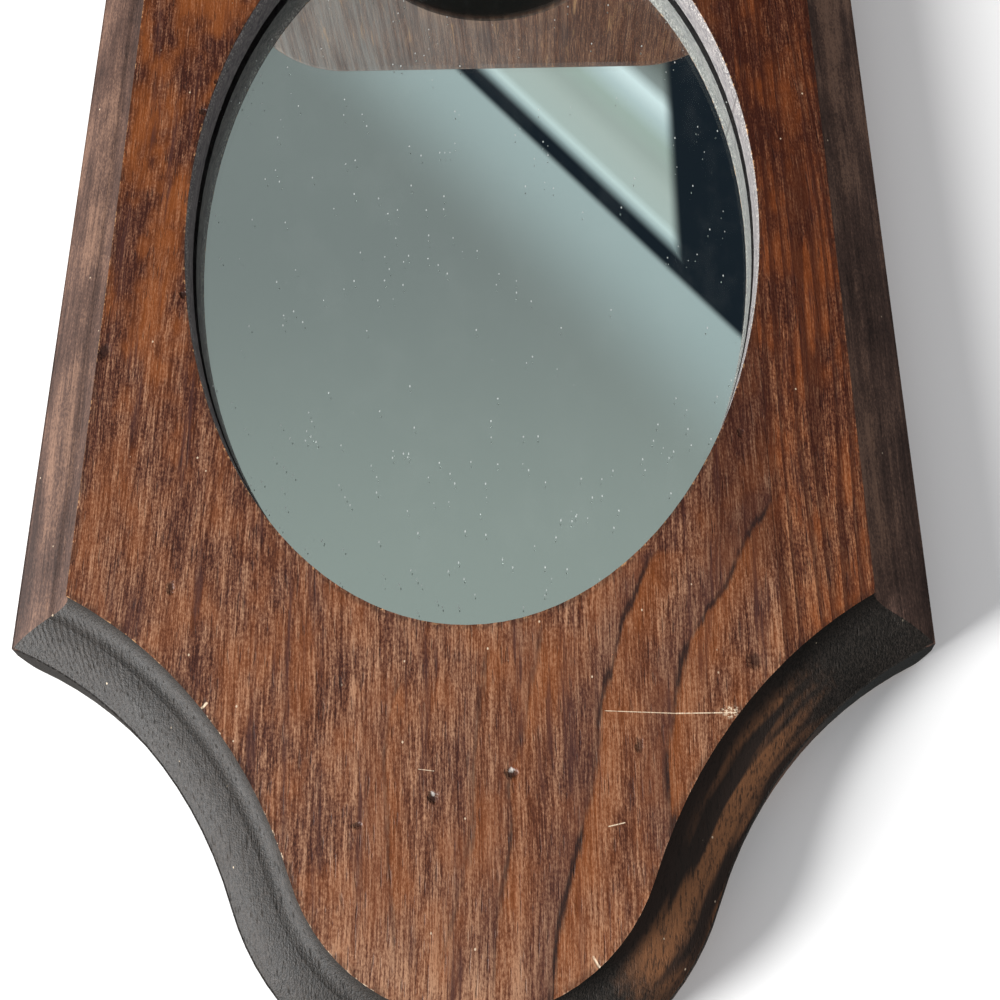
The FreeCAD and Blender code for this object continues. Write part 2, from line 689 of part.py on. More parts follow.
def main():
    doc = FreeCAD.newDocument("shaving_mirror")
    parts = build(doc)
    check(doc, parts)
    os.makedirs("parts", exist_ok=True)
    for part in parts:
        part.Shape.exportStep("parts/%s.step" % part.Label)
        print(part.Label, "solids", len(part.Shape.Solids), "volume %.1f" % part.Shape.Volume)


main()
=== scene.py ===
"""Looks of the wall shaving mirror with shelf: its materials, the stage, the light and the camera.

Places and sizes are millimetres in the frame of the part. Those of the camera and the lamp are
metres.
"""
import math
from types import SimpleNamespace

import bpy
from mathutils import Matrix, Vector


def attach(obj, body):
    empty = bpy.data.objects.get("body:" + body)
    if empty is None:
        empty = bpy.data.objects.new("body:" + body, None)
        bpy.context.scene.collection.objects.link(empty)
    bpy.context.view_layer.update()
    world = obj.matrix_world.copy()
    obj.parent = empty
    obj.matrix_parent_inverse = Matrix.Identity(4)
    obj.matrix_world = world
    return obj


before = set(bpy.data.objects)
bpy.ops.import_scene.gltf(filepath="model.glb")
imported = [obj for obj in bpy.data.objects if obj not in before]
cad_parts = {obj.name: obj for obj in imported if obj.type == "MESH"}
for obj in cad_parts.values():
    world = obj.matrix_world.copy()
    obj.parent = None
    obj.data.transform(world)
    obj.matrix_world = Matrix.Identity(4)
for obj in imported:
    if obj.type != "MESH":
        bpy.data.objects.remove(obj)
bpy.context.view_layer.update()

MM = 0.001
# Farther than any place on the board.
FAR_OFF = 1000.0

# The board, as the part's source gives it.
THICKNESS = 19.0
FACE_Y = -THICKNESS
HALF_WIDTH = 86.2
MOULDING = 13.8
LEDGE_Y = -11.0
SHOULDER_Z = -42.6
JOINT_X = -55.6
TIP = (-1.2, -14.4)
TIP_RADIUS = 45.9
SWEEP_RADIUS = 77.0
OVAL_Z = -133.6
OVAL_HALF = (57.95, 87.8)
RABBET_MARGIN = 6.4

# The mirror's plate and the shelf.
GLASS_FRONT = -13.2
GLASS_BACK = -11.0
GLASS_CLEARANCE = 0.5
SHELF_TOP = -288.4
HOLE_Y = -78.4
HOLE_RADIUS = 44.5

# The camera, fitted to the photograph: its place, and its right, up and back directions.
CAMERA_PLACE = (-0.010577, -0.210015, -0.003167)
CAMERA_RIGHT = (-0.999692, 0.024788, 0.000980)
CAMERA_UP = (-0.009013, -0.326144, -0.945277)
CAMERA_BACK = (-0.023112, -0.944995, 0.326268)
CAMERA_LENS = 39.6
CAMERA_SENSOR = 36.0
CAMERA_CLIP = (0.01, 20.0)

# A name in _NOISE holds a noise's waves to a millimetre, along each axis or along all, its
# detail and its roughness. A name in _STEP holds a step's low and high ends and, unless they
# are 0 and 1, its results there. A name in _PATCHES holds a noise and its step. A name in
# _SHARE says how much of a mark or a shade is mixed in.


def colour(red, green, blue):
    """A linear colour with alpha from 0 to 255 display values."""
    def linear(value):
        value /= 255
        return value / 12.92 if value <= 0.04045 else ((value + 0.055) / 1.055) ** 2.4
    return (linear(red), linear(green), linear(blue), 1.0)


class Tree:
    """A node tree being built. Most methods add a node and return its result."""

    def __init__(self, owner):
        owner.use_nodes = True
        self.made = owner.node_tree
        self.made.nodes.clear()

    def node(self, kind, *values, **settings):
        made = self.made.nodes.new("ShaderNode" + kind)
        for name, value in settings.items():
            setattr(made, name, value)
        for socket, value in zip(made.inputs, values):
            self.feed(socket, value)
        return made

    def feed(self, socket, value):
        if isinstance(value, bpy.types.NodeSocket):
            self.made.links.new(value, socket)
        elif value is not None:
            socket.default_value = value

    def math(self, operation, *values, clamp=False):
        return self.node("Math", *values, operation=operation, use_clamp=clamp).outputs[0]

    def fold(self, operation, values):
        total = values[0]
        for value in values[1:]:
            total = self.math(operation, total, value)
        return total

    def add(self, *values):
        return self.fold("ADD", values)

    def times(self, *values):
        return self.fold("MULTIPLY", values)

    def most(self, *values):
        return self.fold("MAXIMUM", values)

    def least(self, *values):
        return self.fold("MINIMUM", values)

    def minus(self, a, b):
        return self.math("SUBTRACT", a, b)

    def divide(self, a, b):
        return self.math("DIVIDE", a, b)

    def size(self, value):
        return self.math("ABSOLUTE", value)

    def invert(self, value):
        return self.minus(1.0, value)

    def step(self, value, low, high, out_low=0.0, out_high=1.0):
        """A smooth rise from out_low at low to out_high at high."""
        return self.node("MapRange", value, low, high, out_low, out_high,
                         interpolation_type="SMOOTHSTEP").outputs[0]

    def vector(self, operation, a, b=None):
        made = self.node("VectorMath", a, b, operation=operation)
        return made.outputs["Value" if operation in ("DISTANCE", "LENGTH", "DOT_PRODUCT")
                            else "Vector"]

    def split(self, vector):
        return self.node("SeparateXYZ", vector).outputs

    def join(self, x, y, z):
        return self.node("CombineXYZ", x, y, z).outputs[0]

    def within(self, *limits):
        """The product of steps. Each limit is a value and the step's numbers."""
        return self.times(*(self.step(value, *step) for value, step in limits))

    def noise(self, vector, pitch, detail=2.0, roughness=0.5):
        """Noise with the given number of waves to a millimetre, along each axis or along all."""
        pitch = pitch if isinstance(pitch, tuple) else (pitch,) * 3
        made = self.node("TexNoise")
        self.feed(made.inputs["Vector"], self.vector("MULTIPLY", vector, pitch))
        for name, value in (("Scale", 1.0), ("Detail", detail), ("Roughness", roughness)):
            made.inputs[name].default_value = value
        return made.outputs[0]

    def patches(self, vector, recipe):
        """Patches where a noise passes a step, of a recipe with both."""
        noise, step = recipe
        return self.step(self.noise(vector, *noise), *step)

    def cells(self, vector, pitch):
        """Distance to the nearest of scattered points, and that point's random number."""
        made = self.node("TexVoronoi")
        self.feed(made.inputs["Vector"], self.vector("MULTIPLY", vector, pitch))
        made.inputs["Scale"].default_value = 1.0
        return made.outputs["Distance"], self.split(made.outputs["Color"])[0]

    def mix(self, factor, a, b, blend="MIX"):
        made = self.node("Mix", data_type="RGBA", blend_type=blend)
        self.feed(made.inputs[0], factor)
        self.feed(made.inputs[6], a)
        self.feed(made.inputs[7], b)
        return made.outputs[2]

    def tint(self, factor, shade, towards, share):
        """The shade, turned by a share towards another one where factor is 1."""
        return self.mix(factor, shade, self.mix(share, shade, towards))

    def ramp(self, value, *stops):
        made = self.node("ValToRGB", value)
        elements = made.color_ramp.elements
        while len(elements) < len(stops):
            elements.new(0.5)
        for element, (place, shade) in zip(elements, stops):
            element.position = place
            element.color = shade
        return made.outputs[0]

    def curve(self, value, low, high, points):
        """A smooth curve through points, (value, result) pairs. low and high bound both."""
        share = self.node("MapRange", value, low[0], high[0], 0.0, 1.0).outputs[0]
        made = self.node("FloatCurve", 1.0, share)
        line = made.mapping.curves[0].points
        while len(line) < len(points):
            line.new(0.5, 0.5)
        for point, (place, result) in zip(line, sorted(points)):
            point.location = ((place - low[0]) / (high[0] - low[0]),
                              (result - low[1]) / (high[1] - low[1]))
            point.handle_type = "AUTO"
        made.mapping.update()
        return self.node("MapRange", made.outputs[0], 0.0, 1.0, low[1], high[1],
                         clamp=False).outputs[0]

    def centred(self, value, weight):
        """A noise value as an offset to both sides of nothing."""
        return self.times(self.minus(value, 0.5), weight)

    def weighted(self, *pairs):
        """The sum of values, each times its weight."""
        return self.add(*(self.times(value, weight) for value, weight in pairs))


def new_material(name):
    material = bpy.data.materials.new(name)
    return material, Tree(material)


def add_object(name, data):
    made = bpy.data.objects.new(name, data)
    bpy.context.scene.collection.objects.link(made)
    return made


def finish_material(tree, base, roughness, height=None, depth=0.1, strength=1.0, links=(),
                    **numbers):
    """Ends a material with its shader. depth is the bump's full height in millimetres."""
    shader = tree.node("BsdfPrincipled")
    tree.feed(shader.inputs["Base Color"], base)
    tree.feed(shader.inputs["Roughness"], roughness)
    for name, value in tuple(links) + tuple(numbers.items()):
        tree.feed(shader.inputs[name.replace("_", " ")], value)
    if height is not None:
        bump = tree.node("Bump")
        bump.inputs["Strength"].default_value = strength
        bump.inputs["Distance"].default_value = depth * MM
        tree.feed(bump.inputs["Height"], height)
        tree.feed(shader.inputs["Normal"], bump.outputs[0])
    tree.feed(tree.node("OutputMaterial").inputs[0], shader.outputs[0])


def object_place(tree):
    """The surface's point in millimetres, in the part's frame, and its normal."""
    coordinates = tree.node("TexCoord")
    return (tree.vector("MULTIPLY", coordinates.outputs["Object"], (1 / MM,) * 3),
            coordinates.outputs["Normal"])


# Places on the board

# Outwards from the oval's edge to past the rabbet's wall.
RABBET_STEP = (RABBET_MARGIN + 2.1, RABBET_MARGIN + 1.1)
FACE_STEP = (FACE_Y + 0.04, FACE_Y + 0.01)
BACK_STEP = (-0.05, -0.01)
BELOW_FACE_STEP = (FACE_Y + 0.02, FACE_Y + 0.3)
RAGGED_NOISE = ((0.9, 0.9, 0.5), 2.0)
# A ledge is square to Y, at the ledge's level and above the shoulders.
LEVEL_STEP = (0.12, 0.06)
LEDGE_STEP = (LEDGE_Y - 1.0, LEDGE_Y - 0.5)
ABOVE_SHOULDER_STEP = (SHOULDER_Z - 1.0, SHOULDER_Z)
# End grain is where a side faces up or down. Right of the middle the dark stain spreads all the
# way round the tongue.
END_GRAIN_STEP = (0.66, 0.86)
RIGHT_OF_TONGUE_STEP = (-6.0, 6.0, 0.0, 0.42)
RAGGED_WEIGHT = 0.12
UPRIGHT_STEP = (0.02, 0.12)
SMALLEST = 1e-5
# A hollow lies behind the glass's front and inside the moulding. The hanger's slot reaches out
# behind the moulding, so near the back the margin is wider.
BEHIND_GLASS_STEP = (GLASS_FRONT, GLASS_FRONT + 1.0)
INSIDE_STEP = (0.5, 1.5)
NEAR_BACK_STEP = (-4.0, -3.5, 0.0, 8.0)
# How far the tongue's round takes to fade beyond its ends.
ROUND_FADE = -1.0


def sweep_centre(side):
    """Centre of the hollow sweep on side -1 or 1 (x, z): through the shoulder's corner,
    touching the round of the tongue from outside."""
    across = side * HALF_WIDTH - TIP[0]
    up = SHOULDER_Z - TIP[1]
    reach = TIP_RADIUS + SWEEP_RADIUS
    span = math.hypot(across, up)
    along = (reach ** 2 - SWEEP_RADIUS ** 2 + span ** 2) / (2 * span)
    aside = math.sqrt(reach ** 2 - along ** 2)
    return (TIP[0] + (across * along - side * up * aside) / span,
            TIP[1] + (up * along + side * across * aside) / span)


def face_margin(tree, x, z):
    """Distance from the edge of the flat face, from inside."""
    plane = tree.join(x, 0.0, z)
    across = tree.minus(x, TIP[0])
    margins = [tree.minus(HALF_WIDTH - MOULDING, tree.size(x))]
    tongue_lines = []
    for side in (-1, 1):
        centre = sweep_centre(side)
        away = tree.vector("DISTANCE", plane, (centre[0], 0.0, centre[1]))
        margins.append(tree.minus(away, SWEEP_RADIUS + MOULDING))
        tongue_lines.append(tree.times(across, (centre[1] - TIP[1]) / (centre[0] - TIP[0])))
    # The tongue's round counts only above the two lines from its centre to where it ends.
    above = tree.minus(tree.minus(z, TIP[1]), tree.most(*tongue_lines))
    tip = tree.vector("DISTANCE", plane, (TIP[0], 0.0, TIP[1]))
    margins.append(tree.add(tree.minus(TIP_RADIUS - MOULDING, tip),
                            tree.step(above, 0.0, ROUND_FADE, 0.0, FAR_OFF)))
    return tree.least(*margins)


def oval_place(tree, x, z):
    """Distance from the oval opening's edge, outwards, about in millimetres."""
    offset = tree.join(tree.divide(x, OVAL_HALF[0]), 0.0,
                       tree.divide(tree.minus(z, OVAL_Z), OVAL_HALF[1]))
    share = tree.minus(tree.vector("LENGTH", offset), 1.0)
    return tree.times(share, sum(OVAL_HALF) / 2)


def board_place(tree):
    """A point of the board: where it is, and which parts of the board it belongs to."""
    place, normal = object_place(tree)
    x, y, z = tree.split(place)
    margin, oval = face_margin(tree, x, z), oval_place(tree, x, z)
    ragged = tree.noise(place, *RAGGED_NOISE)

    nx, _, nz = tree.split(normal)
    lean = tree.math("SQRT", tree.add(tree.times(nx, nx), tree.times(nz, nz), SMALLEST))
    on_ledge = tree.within((lean, LEVEL_STEP), (y, LEDGE_STEP), (z, ABOVE_SHOULDER_STEP))
    upright = tree.most(tree.divide(tree.size(nz), lean), on_ledge)
    end_grain = tree.step(tree.add(upright, tree.times(ragged, RAGGED_WEIGHT),
                                   tree.step(x, *RIGHT_OF_TONGUE_STEP)), *END_GRAIN_STEP)

    inward = tree.add(margin, tree.step(y, *NEAR_BACK_STEP))
    return SimpleNamespace(
        place=place, x=x, y=y, z=z, margin=margin, oval=oval, ragged=ragged,
        end_grain=tree.times(end_grain, tree.step(upright, *UPRIGHT_STEP)),
        hollow=tree.within((y, BEHIND_GLASS_STEP), (inward, INSIDE_STEP)),
        on_face=tree.step(y, *FACE_STEP), on_back=tree.step(y, *BACK_STEP),
        in_opening=tree.within((oval, RABBET_STEP), (y, BELOW_FACE_STEP)))


# Grain and stain

STAIN_DARK = colour(50, 20, 11)
STAIN_DEEP = colour(80, 44, 29)
STAIN_MID = colour(108, 70, 50)
STAIN_LIGHT = colour(162, 122, 94)
STAIN_ORANGE = colour(132, 70, 24)
STAIN_PURPLE = colour(66, 38, 33)
NARROW_TINT = (0.92, 0.80, 0.68, 1.0)
# Dark of pores, joints and gathered stain; also the painted shade in dents.
PORE_AND_DENT_SHADE = colour(32, 16, 12)
FIGURE_INK = colour(30, 16, 15)
MOULD_DARK = colour(52, 38, 33)
MOULD_MID = colour(82, 61, 52)
MOULD_LIGHT = colour(124, 95, 78)
MOULD_BROWN = colour(122, 80, 50)
MOULD_SHADED = colour(46, 34, 28)
END_DARK = colour(20, 17, 14)
END_LIGHT = colour(46, 40, 35)
SHELF_END_DARK = colour(34, 25, 20)
SHELF_END_LIGHT = colour(72, 50, 38)
# The grey of the painted sheen on the shelf's top.
SHELF_PAINTED_SHEEN = colour(122, 119, 118)
BARE_LIGHT = colour(128, 123, 122)
BARE_DARK = colour(90, 88, 90)
# Pale crumbs of bare wood; also the painted highlight in dents.
BARE_SPECK_AND_HIGHLIGHT = colour(214, 208, 200)
BACK_LIGHT = colour(150, 118, 86)
BACK_DARK = colour(104, 76, 52)
WORN = colour(196, 150, 104)
CHIPPED = colour(226, 205, 176)

# Each kind of mark in the wood, the last axis along the grain.
MARK_NOISES = {
    "bands": ((0.13, 0.13, 0.010), 2.0, 0.6),
    "streaks": ((0.50, 0.50, 0.022), 3.0, 0.6),
    "fibres": ((1.9, 1.9, 0.075), 2.0, 0.6),
    "hairs": ((3.6, 3.6, 0.26), 1.0),
    "grit": ((3.0, 3.0, 1.4), 2.0, 0.7),
    "pores": ((2.4, 2.4, 0.22), 1.0),
    "smoke": ((0.42, 0.42, 0.034), 3.0, 0.55),
}
MOTTLE_NOISE = ((0.11, 0.11, 0.060), 3.0, 0.6)
PORE_STEP = (0.60, 0.76)
SMOKE_STEP = (0.54, 0.68)
# The slow bends that all the marks but the mottle follow, and how far each bend goes.
BENDS = ((((0.02, 0.02, 0.007), 1.0), 9.0), (((0.25, 0.25, 0.03), 1.0), 0.7))
SEED_SHIFT = (61.3, 17.7, 29.1)

# Growth rings: how they wander, in rings, and how one of them darkens and ends.
RING_NOISE = ((0.10, 0.10, 0.004), 2.0, 0.6)
RING_WANDER = 5.0
RING_RISE_STEP = (0.25, 0.90)
RING_END_STEP = (1.0, 0.93)

# How far each kind of mark moves the stain's tone. A board's contrast scales the broad ones.
STAIN_MARKS = {"bands": 0.4, "streaks": 0.5, "fibres": 1.15, "hairs": 1.25, "grit": 1.6,
               "mottle": 0.35}
BROAD_MARKS = ("bands", "streaks")
STAIN_RAMP = ((0.05, STAIN_DARK), (0.28, STAIN_DEEP), (0.52, STAIN_MID), (1.0, STAIN_LIGHT))
WARM_STEP = (0.40, 0.66)
WARM_SHARE = 0.6
COOL_STEP = (0.48, 0.32, 0.0, 0.30)
COOL_SHARE = 0.5
SMOKED_STEP = (0.60, 0.35, 0.25, 0.80)
PORE_SHARE = 0.45


def grain(tree, place, seed):
    """The grain that all the wood shares, running along the last axis of place."""
    place = tree.vector("ADD", place, tuple(seed * shift for shift in SEED_SHIFT))
    bend = tree.weighted(*((tree.noise(place, *noise), reach) for noise, reach in BENDS))
    bent = tree.vector("ADD", place, tree.join(bend, 0.0, 0.0))
    wood = {mark: tree.noise(bent, *noise) for mark, noise in MARK_NOISES.items()}
    wood["pores"] = tree.step(wood["pores"], *PORE_STEP)
    wood["smoke"] = tree.step(wood["smoke"], *SMOKE_STEP)
    wood["mottle"] = tree.noise(place, *MOTTLE_NOISE)
    return dict(wood, place=place, bent=bent)


def toned(tree, wood, marks, middle=0.5):
    """A middle tone, moved to both sides by the wood's marks, each by its weight."""
    return tree.add(*(tree.centred(wood[mark], weight) for mark, weight in marks.items()), middle)


def mark_sum(tree, wood, marks):
    """The wood's marks added up, each times its weight."""
    return tree.weighted(*((wood[mark], weight) for mark, weight in marks.items()))


def straight_rings(tree, wood, pitch):
    """Growth rings cut square: from 0 up to 1 at each ring's dark end, pitch apart."""
    drift = tree.noise(wood["place"], *RING_NOISE)
    across = tree.split(wood["bent"])[0]
    turns = tree.divide(tree.add(across, tree.times(drift, RING_WANDER * pitch)), pitch)
    share = tree.math("FRACT", turns)
    return tree.times(tree.step(share, *RING_RISE_STEP), tree.step(share, *RING_END_STEP))


def stained(tree, wood, contrast, orange, tone):
    """Stained face wood from its grain. tone is 0.5 for the middle and more for lighter."""
    marks = {mark: weight * contrast if mark in BROAD_MARKS else weight
             for mark, weight in STAIN_MARKS.items()}
    shade = tree.ramp(toned(tree, wood, marks, tone), *STAIN_RAMP)
    warm = tree.times(tree.step(wood["mottle"], *WARM_STEP), orange)
    shade = tree.tint(warm, shade, STAIN_ORANGE, WARM_SHARE)
    shade = tree.tint(tree.step(wood["mottle"], *COOL_STEP), shade, STAIN_PURPLE, COOL_SHARE)
    smoked = tree.times(wood["smoke"], tree.step(wood["fibres"], *SMOKED_STEP))
    shade = tree.mix(smoked, shade, STAIN_PURPLE)
    return tree.mix(tree.times(wood["pores"], PORE_SHARE), shade, PORE_AND_DENT_SHADE)


# The board's face

# Figure lines of the wide stave, where one growth ring ends: (z, x) down the line.
FIGURE_NEAR_JOINT = ((-69.2, -55.6), (-62.2, -50.8), (-51.8, -45.2), (-46.4, -41.4),
                     (-41.4, -38.3), (-35.5, -36.8), (-29.0, -35.6), (-22.0, -34.3),
                     (-10.6, -34.7))
FIGURE_MIDDLE = ((-58.0, -33.2), (-46.5, -27.8), (-38.9, -25.2), (-30.9, -22.9),
                 (-23.0, -22.0), (-15.9, -20.9), (-8.6, -18.8), (-2.3, -17.0), (2.7, -15.7),
                 (14.6, -13.9))
FIGURE_INNER = ((-44.3, -13.1), (-36.0, -11.6), (-28.6, -10.2), (-22.5, -8.6),
                (-18.1, -7.2), (-11.8, -7.9), (-1.9, -6.2), (5.3, -5.5))
FIGURE_CENTRE = ((-40.2, -3.2), (-29.8, -2.1), (-21.4, -1.1), (-7.5, -0.7), (-0.3, 0.9))
FIGURE_OUTER = ((-34.4, 12.2), (-28.2, 13.8), (-22.6, 14.1), (-18.2, 13.8), (0.0, 12.0))
# Each line with its width and its strength.
FIGURES = ((FIGURE_NEAR_JOINT, 1.1, 1.0), (FIGURE_MIDDLE, 1.0, 0.95), (FIGURE_INNER, 0.9, 0.60),
           (FIGURE_CENTRE, 0.8, 0.40), (FIGURE_OUTER, 0.8, 0.45))
# The range of the lines' places, (z, x).
CURVE_LOW = (-80.0, -70.0)
CURVE_HIGH = (35.0, 30.0)
# How far a line fades beyond its lower and its upper end.
FADE_BELOW = 2.0
FADE_ABOVE = 14.0
# The part of a line's width that is fully dark, and the fine dark line along its middle.
FULL_PART = 0.15
CORE_STEP = (0.5, 0.15)
# Darker wood on one side of a line and warmer wood on the other, both this far.
HALO_REACH = 9.0
DARK_SIDE_STEP = (-0.6, 0.4, 0.0, 0.75)
WARM_SIDE_STEP = (0.2, -0.6, 0.0, 0.75)
DARK_SIDE_SHARE = 0.60
WARM_SIDE_SHARE = 0.50
LINE_WAVER = {"streaks": 2.4, "fibres": 1.4}
LINE_SHARE = 0.72
CORE_GRIT_STEP = (0.40, 0.55, 0.20, 0.85)
LINE_PATCHES = (((0.16, 0.16, 0.09), 3.0, 0.6), (0.38, 0.60, 0.15, 1.0))
# Dark wood beside the oval, next to the joint: across the board and down it.
BESIDE_WAVER = {"bands": 14.0}
BESIDE_ACROSS_STEP = (-36.0, -47.0)
BESIDE_DOWN_STEP = (-50.0, -66.0, 0.0, 0.70)
BESIDE_SHARE = 0.7

NARROW_PITCH = 2.7
NARROW_RING_SHARE = 0.72
NARROW_FOOT_STEP = (-60.0, -150.0, 0.0, 0.45)
NARROW_FOOT_SHARE = 0.6

# The stain is yellower down the right side of the board.
YELLOW_ACROSS_STEP = (5.0, 60.0)
YELLOW_DOWN_STEP = (-60.0, -130.0, 0.0, 0.5)
# Its tone from the oval up to the tongue, at the tip, and right and left of the middle. The
# lighter tone at the tip is a painted sheen.
TONE_RANGE = (-150.0, -35.0)
TONGUE_TONE = 0.50
TIP_PAINTED_SHEEN_STEP = (-8.0, 14.0, 0.0, 0.24)
RIGHT_TONE_STEP = (15.0, 45.0, 0.0, -0.06)
LEFT_ACROSS_STEP = (-20.0, -50.0)
LEFT_DOWN_STEP = (-30.0, -60.0)


def figure_line(tree, across, along, points):
    """A point's distance across a figure line, and whether it lies between the line's ends."""
    low, high = points[0][0], points[-1][0]
    return (tree.minus(across, tree.curve(along, CURVE_LOW, CURVE_HIGH, points)),
            tree.least(tree.step(along, low - FADE_BELOW, low),
                       tree.step(along, high + FADE_ABOVE, high)))


def figured_face(tree, wood, at, face):
    """The wide stave's face, with its dark figure."""
    line, core = 0.0, 0.0
    across = toned(tree, wood, LINE_WAVER, at.x)
    for points, width, strength in FIGURES:
        aside, between = figure_line(tree, across, at.z, points)
        shown = tree.times(between, strength)
        shaded = tree.within((aside, (HALO_REACH, 0.0)), (aside, DARK_SIDE_STEP))
        warmed = tree.within((aside, (-HALO_REACH, 0.0)), (aside, WARM_SIDE_STEP))
        face = tree.tint(tree.times(shaded, shown), face, STAIN_PURPLE, DARK_SIDE_SHARE)
        face = tree.tint(tree.times(warmed, shown), face, STAIN_ORANGE, WARM_SIDE_SHARE)
        near = tree.step(tree.size(aside), width, width * FULL_PART)
        line = tree.most(line, tree.times(near, shown))
        core = tree.most(core, tree.times(tree.step(tree.size(aside), *CORE_STEP), shown))
    beside = tree.within((toned(tree, wood, BESIDE_WAVER, at.x), BESIDE_ACROSS_STEP),
                         (at.z, BESIDE_DOWN_STEP))
    face = tree.tint(beside, face, STAIN_DARK, BESIDE_SHARE)
    patchy = tree.patches(at.place, LINE_PATCHES)
    face = tree.mix(tree.times(line, patchy, LINE_SHARE), face, FIGURE_INK)
    broken = tree.step(wood["grit"], *CORE_GRIT_STEP)
    return tree.mix(tree.times(core, broken, patchy), face, FIGURE_INK)


def ringed_face(tree, wood, at, face):
    """The narrow stave's face, with straight rings, darker towards its foot."""
    rings = straight_rings(tree, wood, NARROW_PITCH)
    face = tree.mix(tree.times(rings, NARROW_RING_SHARE), face, STAIN_DARK)
    face = tree.tint(tree.step(at.z, *NARROW_FOOT_STEP), face, STAIN_DARK, NARROW_FOOT_SHARE)
    return tree.mix(1.0, face, NARROW_TINT, blend="MULTIPLY")


def board_stain(tree, wood, at, stave):
    """The stain on a stave's face, before its figure or rings."""
    yellow = tree.within((at.x, YELLOW_ACROSS_STEP), (at.z, YELLOW_DOWN_STEP))
    left = tree.within((at.x, LEFT_ACROSS_STEP), (at.z, LEFT_DOWN_STEP))
    # The lift towards the tip is a painted sheen.
    tone = tree.add(tree.step(at.z, *TONE_RANGE, stave.oval_tone, TONGUE_TONE),
                    tree.step(at.z, *TIP_PAINTED_SHEEN_STEP), tree.step(at.x, *RIGHT_TONE_STEP),
                    tree.times(left, stave.left_tone))
    return stained(tree, wood, stave.contrast, tree.add(stave.orange, yellow), tone)


# The board's moulding, opening and back

MOULD_MARKS = {"bands": 0.9, "streaks": 0.5, "mottle": 0.8, "grit": 0.7, "fibres": 0.5}
MOULD_RAMP = ((0.25, MOULD_DARK), (0.52, MOULD_MID), (0.80, MOULD_LIGHT))
# Streaks where the grain runs out: waves to a millimetre across the moulding and up the board.
BURL_PITCH = (0.22, 0.030)
BURL_PLACE = 3.0
BURL_NOISE = (1.0, 2.0, 0.55)
BURL_STEP = (0.43, 0.55)
BELOW_EDGE_STEP = (-1.5, -4.5)
FINE_MARKS = {"fibres": 0.9, "hairs": 0.6, "grit": 0.6}
FINE_BROWN_STEP = (0.20, 0.60, 0.45, 1.0)
FINE_DARK_STEP = (0.50, 0.20, 0.0, 0.55)
TONGUE_UP_STEP = (-44.0, -38.0)
TONGUE_LEFT_STEP = (-5.0, -15.0)
END_MARKS = {"grit": 1.3, "mottle": 0.4}
END_RAMP = ((0.35, END_DARK), (0.72, END_LIGHT))
FACE_EDGE_STEP = (-0.3, -0.1)

BARE_MARKS = {"fibres": 0.6, "ragged": 0.4}
BARE_RAMP = ((0.35, BARE_DARK), (0.62, BARE_LIGHT))
CRUMB_PATCHES = ((2.2, 2.0), (0.52, 0.66))
CRUMB_DEPTH_STEP = (FACE_Y + 3.5, FACE_Y + 0.6, 0.10, 0.60)
BACK_MARKS = {"streaks": 0.6, "fibres": 0.4}
BACK_RAMP = ((0.30, BACK_DARK), (0.65, BACK_LIGHT))
BACK_PORE_SHARE = 0.5
JOINT_STEP = (0.14, 0.04)
JOINT_SHARE = 0.30


def moulded(tree, wood, at):
    """Darker stained wood of the moulded edge, near black on end grain, with brown streaks
    where the grain runs out along the left side of the tongue."""
    along = tree.ramp(toned(tree, wood, MOULD_MARKS), *MOULD_RAMP)
    burl = tree.noise(tree.join(tree.times(at.margin, BURL_PITCH[0]), BURL_PLACE,
                                tree.times(at.z, BURL_PITCH[1])), *BURL_NOISE)
    brown = tree.within((burl, BURL_STEP), (at.margin, BELOW_EDGE_STEP))
    fine = toned(tree, wood, FINE_MARKS)
    streaked = tree.mix(tree.times(brown, tree.step(fine, *FINE_BROWN_STEP)), MOULD_SHADED,
                        MOULD_BROWN)
    streaked = tree.mix(tree.step(fine, *FINE_DARK_STEP), streaked, END_DARK)
    left_of_tongue = tree.within((at.z, TONGUE_UP_STEP), (at.x, TONGUE_LEFT_STEP))
    along = tree.mix(left_of_tongue, along, streaked)
    across = tree.ramp(toned(tree, wood, END_MARKS), *END_RAMP)
    return tree.mix(at.end_grain, along, across)


def bare_wood(tree, wood, at, shade):
    """Adds the oval's wall, greyed with age and with pale crumbs under its lip, and the plain
    wood of the back and its hollows."""
    grey = tree.ramp(mark_sum(tree, dict(wood, ragged=at.ragged), BARE_MARKS), *BARE_RAMP)
    crumbs = tree.times(tree.patches(at.place, CRUMB_PATCHES),
                        tree.step(at.y, *CRUMB_DEPTH_STEP))
    shade = tree.mix(at.in_opening, shade, tree.mix(crumbs, grey, BARE_SPECK_AND_HIGHLIGHT))
    back = tree.ramp(mark_sum(tree, wood, BACK_MARKS), *BACK_RAMP)
    back = tree.mix(tree.times(wood["pores"], BACK_PORE_SHARE), back, PORE_AND_DENT_SHADE)
    return tree.mix(tree.most(at.on_back, at.hollow), shade, back)


# The board's wear

# Dents in the face and nicks in its edges: (x, z, radius across, radius along, depth share).
DENTS = (
    (5.4, -16.3, 1.1, 1.5, 1.0),
    (-7.9, -20.2, 1.5, 1.3, 1.0),
    (18.1, -11.8, 1.2, 0.8, 0.8),
    (-29.7, -24.8, 0.9, 1.7, 0.7),
    (-50.9, -81.9, 0.9, 1.3, 0.6),
    (-50.3, -39.2, 1.9, 2.2, 0.8),
    (53.4, -52.9, 1.0, 1.8, 0.8),
    (71.0, -100.3, 1.7, 2.6, 0.9),
    (56.8, -112.7, 0.9, 1.1, 1.0),
    (56.7, -156.5, 1.1, 1.2, 1.0),
    (54.3, -163.9, 0.9, 1.2, 0.8),
    (50.7, -177.6, 0.8, 1.6, 0.6),
)
